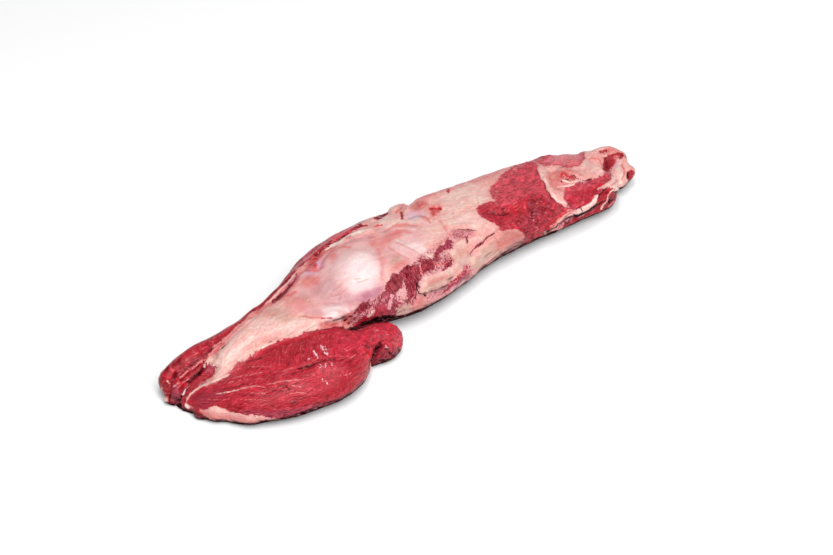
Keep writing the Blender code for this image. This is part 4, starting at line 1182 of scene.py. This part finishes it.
def meat_material():
    """Muscle and fat, each with a pattern of its own, and a torn border between them."""
    material = bpy.data.materials.new("raw_meat_surface")
    nodes = Nodes(material)
    fat = nodes.attribute("fat")
    film = nodes.attribute("film")
    cross = nodes.attribute("cross")
    mottled = nodes.attribute("mottled")
    place = nodes.scaled(nodes.add("ShaderNodeTexCoord").outputs["Object"], (1 / MM, 1 / MM, 1 / MM))
    wobble = nodes.add("ShaderNodeTexNoise", None, Vector=place, Scale=FIBRE_WOBBLE_SCALE, Detail=3.0)
    wobble = nodes.scaled(wobble.outputs["Color"], FIBRE_WOBBLE)
    bent = nodes.moved(nodes.attribute("grain", "Vector"), wobble)
    bent_flow = nodes.moved(nodes.attribute("flow", "Vector"), wobble)

    speckle = nodes.noise(place, 0.85, 3, 0.6)
    mottle = nodes.noise(place, 0.17, 3, 0.55)
    blotch = nodes.noise(place, 0.42, 2, 0.6)
    lean, fibre_height = lean_coat(nodes, bent, cross, mottled, speckle, mottle, blotch)
    cover, fat_height, streaks = fat_coat(nodes, bent_flow, place, film, speckle, mottle)

    fringes = nodes.blend(cross, nodes.grain(bent, (0.22, 0.9), 2, 0.5),
                          nodes.grain(bent, (0.8, 0.2), 2, 0.5))
    tear = nodes.total(nodes.span(fringes, 0.25, 0.75, -0.3, 0.3), nodes.span(speckle, 0.25, 0.75, -0.2, 0.2))
    share = nodes.span(nodes.math("ADD", fat, tear), 0.38, 0.62)
    solid_fat = nodes.span(fat, 0.86, 0.99)
    solid_lean = nodes.span(fat, 0.01, 0.14)
    share = nodes.product(nodes.math("MAXIMUM", share, solid_fat), solid_lean)
    colour = nodes.mix(share, lean, cover)
    red = nodes.add("ShaderNodeSeparateColor", None, n0=colour).outputs[0]
    wet = nodes.span(red, 0.02, 0.25)

    lean_gloss = nodes.span(blotch, 0.35, 0.65, 0.5, 0.28)
    fat_gloss = nodes.blend(film, nodes.span(streaks, 0.35, 0.65, 0.52, 0.4), 0.3)
    height = nodes.blend(share, fibre_height, nodes.math("ADD", fat_height, 0.35))
    bump = nodes.add("ShaderNodeBump", None, Strength=0.75, Distance=MM, Height=height)
    for key, value in (
            ("Base Color", colour),
            ("Roughness", nodes.blend(share, lean_gloss, fat_gloss)),
            ("Specular IOR Level", nodes.product(nodes.blend(share, 0.2, 0.4), wet)),
            ("Coat Weight", nodes.product(nodes.blend(share, 0.1, 0.15), wet)),
            ("Coat Roughness", 0.15),
            ("Subsurface Weight", 0.1),
            ("Subsurface Radius", (1.0, 0.35, 0.25)),
            ("Subsurface Scale", 0.003),
            ("Normal", bump.outputs[0])):
        nodes.plug(nodes.shader, key, value)
    return material


def lean_coat(nodes, bent, cross, mottled, speckle, mottle, blotch):
    """Bare muscle: uneven bundles of fibres, dark gaps between them, and pale flecks that are partly painted
    glints.
    """
    bundles = nodes.blend(cross, nodes.grain(bent, (0.08, 0.46), 4, 0.62),
                          nodes.grain(bent, (0.55, 0.1), 4, 0.62))
    fibres = nodes.blend(mottled, bundles, blotch)
    threads = nodes.blend(cross, nodes.grain(bent, (0.16, 1.1), 2, 0.6),
                          nodes.grain(bent, (1.1, 0.18), 2, 0.6))
    long_cells = nodes.cell_tones(nodes.scaled(bent, (0.08, 0.42, 1)))
    short_cells = nodes.cell_tones(nodes.scaled(bent, (0.45, 0.1, 1)))
    cells = nodes.blend(mottled, nodes.blend(cross, long_cells, short_cells), 0.5)
    clumps = nodes.span(nodes.grain(bent, (0.1, 0.2), 3, 0.6), 0.38, 0.62, 0.72, 1.2)

    fibre_tone = nodes.blend(mottled, nodes.span(fibres, 0.3, 0.6, 0.68, 1.14),
                             nodes.span(fibres, 0.3, 0.6, 0.88, 1.07))
    thread_tone = nodes.blend(mottled, nodes.span(threads, 0.32, 0.62, 0.68, 1.18),
                              nodes.span(threads, 0.32, 0.62, 0.82, 1.12))
    mottle_tone = nodes.blend(mottled, nodes.span(mottle, 0.3, 0.7, 0.9, 1.1),
                              nodes.span(mottle, 0.36, 0.64, 0.76, 1.14))
    tone = nodes.product(
        nodes.blend(mottled, 1.0, clumps), fibre_tone, nodes.span(cells, 0.0, 1.0, 0.9, 1.1),
        thread_tone, nodes.span(speckle, 0.3, 0.62, 0.84, 1.1), mottle_tone)
    coat = nodes.tinted(nodes.attribute("lean", "Color"), tone)

    gaps = nodes.span(nodes.weighted((fibres, 1.0), (threads, 0.5)), 0.54, 0.68, 0.6, 0.0)
    coat = nodes.dyed(nodes.product(gaps, nodes.blend(mottled, 1.0, 0.35)), coat, (0.42, 0.16, 0.2))
    # Pale flecks, partly fat and partly painted glints on the wet muscle
    shine = nodes.weighted((fibres, 0.3), (threads, 0.45), (speckle, 0.25))
    coat = nodes.mix(nodes.span(shine, 0.5, 0.66, 0.0, 0.55), coat, (0.6, 0.17, 0.2, 1))
    return coat, nodes.weighted((fibres, 1.0), (threads, 0.5), (speckle, 0.3))


def fat_coat(nodes, flow, place, film, speckle, mottle):
    """Fat and silver skin: broad veils, streaks, lumps, soft folds and a few veins."""
    veil = nodes.grain(flow, (0.025, 0.075), 3, 0.55)
    patches = nodes.noise(place, 0.085, 3, 0.6)
    streaks = nodes.grain(flow, (0.07, 0.45), 3, 0.6)
    lumps = nodes.noise(place, 0.24, 2, 0.5)
    long_folds = nodes.folds(nodes.grain(flow, (0.035, 0.1), 2, 0.5))
    short_folds = nodes.folds(nodes.noise(place, 0.18, 3, 0.55))
    folds = nodes.math("MAXIMUM", nodes.product(long_folds, 0.5), nodes.product(short_folds, 0.4))
    veins = nodes.product(nodes.cell_walls(nodes.scaled(place, (0.045, 0.08, 0.08)), 0.05),
                          nodes.span(mottle, 0.5, 0.62, 0.0, 1.0))

    waxy = nodes.blend(film, 1.0, 0.3)
    coat = nodes.attribute("cover", "Color")
    for share, dye in (
            (nodes.span(veil, 0.44, 0.62, 0.0, 0.7), (0.97, 0.72, 0.72)),
            (nodes.span(patches, 0.48, 0.62), (1.0, 1.12, 1.05)),
            (nodes.span(lumps, 0.5, 0.66), (1.04, 1.14, 1.14)),
            (folds, (0.92, 0.66, 0.66))):
        coat = nodes.dyed(nodes.product(share, waxy), coat, dye)
    coat = nodes.mix(nodes.product(veins, 0.35, waxy), coat, (0.45, 0.09, 0.11, 1))
    streak_tone = nodes.blend(film, nodes.span(streaks, 0.3, 0.7, 0.9, 1.06),
                              nodes.span(streaks, 0.3, 0.7, 0.96, 1.03))
    coat = nodes.tinted(coat, nodes.product(streak_tone, nodes.span(speckle, 0.3, 0.7, 0.95, 1.05)))
    bulge = nodes.weighted((lumps, 1.2), (folds, -0.8), (streaks, 0.6), (speckle, 0.35))
    return coat, nodes.product(bulge, nodes.blend(film, 0.8, 0.25)), streaks


def build_meat(node, low, high):
    """The dressed surface: painted, carved, given its material and set in the node's place."""
    piece = fine_copy(node, "raw_tenderloin")
    thin_hidden(piece)
    surface = Surface(piece, low, high)
    seen = surface.seen()
    chart = on_chart(surface.points)
    paint = paint_surface(surface, chart, seen)
    lobe = (field_share(chart, LOBE_OUTLINE, 1.0) > 0.5) & (seen > 0.5)
    grain = np.where(lobe[:, None], lobe_grain(chart), body_grain(surface.points))
    cross = sum_of_fields(chart, CROSS_FIELDS) * seen
    mottled = sum_of_fields(chart, MOTTLED_FIELDS) * seen
    carve(surface, chart, seen)
    surface_relief(surface, paint, grain, cross, mottled)
    # Painted shade: the turned-down underside and a band near the floor are darkened in the colour, less on
    # the front lobe
    underside_shade = ease(-surface.normals[:, 2], 0.0, 0.45)
    contact_shade = ease(CONTACT_SHADE_HEIGHT - surface.points[:, 2], 0, 0.8 * CONTACT_SHADE_HEIGHT) * (1 - 0.7 * lobe)
    paint.darken(np.maximum(underside_shade, contact_shade), CONTACT_SHADE_TINT)
    # Painted shade deep in crevices, mostly on the muscle
    paint.darken(ease(surface.sheltered(), 0.3, 0.9) * (1 - 0.85 * paint.fat), CREVICE_SHADE_TINT)
    mesh = piece.data
    store_colour(mesh, "lean", paint.lean)
    store_colour(mesh, "cover", paint.cover)
    for name, values in (("fat", paint.fat), ("film", paint.film), ("cross", cross), ("mottled", mottled)):
        store(mesh, name, "FLOAT", values)
    store_place(mesh, "grain", grain)
    store_place(mesh, "flow", body_grain(surface.points))
    mesh.materials.clear()
    mesh.materials.append(meat_material())
    mesh.shade_smooth()
    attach(piece, "root")
    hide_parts("tenderloin")
    return piece


def make_floor():
    """A plain pale floor, wide enough for every view."""
    corners = [(x * FLOOR_HALF, y * FLOOR_HALF, 0) for x, y in ((-1, -1), (1, -1), (1, 1), (-1, 1))]
    mesh = bpy.data.meshes.new("floor")
    mesh.from_pydata(corners, [], [(0, 1, 2, 3)])
    floor = bpy.data.objects.new("floor", mesh)
    floor.location.z = -FLOOR_DROP
    bpy.context.scene.collection.objects.link(floor)
    material = bpy.data.materials.new("floor")
    nodes = Nodes(material)
    nodes.plug(nodes.shader, "Base Color", FLOOR_COLOUR)
    nodes.plug(nodes.shader, "Roughness", 0.8)
    mesh.materials.append(material)


def make_light(name, place, size, power):
    """A square lamp that aims at the middle of the meat."""
    lamp = bpy.data.lights.new(name, "AREA")
    lamp.shape = "SQUARE"
    lamp.size = size
    lamp.energy = power
    holder = bpy.data.objects.new(name, lamp)
    holder.location = place
    to_middle = Vector((0, 0, 0)) - Vector(place)
    holder.rotation_euler = to_middle.to_track_quat("-Z", "Y").to_euler()
    bpy.context.scene.collection.objects.link(holder)


def make_world(strength):
    world = bpy.data.worlds.new("world")
    world.use_nodes = True
    world.node_tree.nodes["Background"].inputs["Color"].default_value = (1, 1, 1, 1)
    world.node_tree.nodes["Background"].inputs["Strength"].default_value = strength
    bpy.context.scene.world = world


def make_camera():
    """The photograph's view, with a lens that gives the picture's frame."""
    right, up, forward = chart_axes()
    camera = bpy.data.cameras.new("camera")
    camera.sensor_width = SENSOR_WIDTH
    camera.lens = FOCAL_PIXELS / PICTURE[0] * SENSOR_WIDTH
    holder = bpy.data.objects.new("camera", camera)
    turn = Matrix([right, up, -forward]).transposed()
    holder.matrix_world = Matrix.Translation(CAMERA_PLACE) @ turn.to_4x4()
    bpy.context.scene.collection.objects.link(holder)
    bpy.context.scene.camera = holder


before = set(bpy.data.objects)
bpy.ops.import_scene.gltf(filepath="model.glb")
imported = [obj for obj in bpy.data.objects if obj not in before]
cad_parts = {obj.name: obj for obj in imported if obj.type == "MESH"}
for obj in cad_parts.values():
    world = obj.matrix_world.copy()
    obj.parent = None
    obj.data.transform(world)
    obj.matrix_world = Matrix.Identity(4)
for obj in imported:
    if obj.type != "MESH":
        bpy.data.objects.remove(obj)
solid_low, solid_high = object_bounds()
make_camera()
build_meat(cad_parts["tenderloin"], solid_low, solid_high)
make_floor()
for light in LIGHTS:
    make_light(*light)
make_world(WORLD_STRENGTH)
bpy.context.scene.view_settings.view_transform = "Standard"
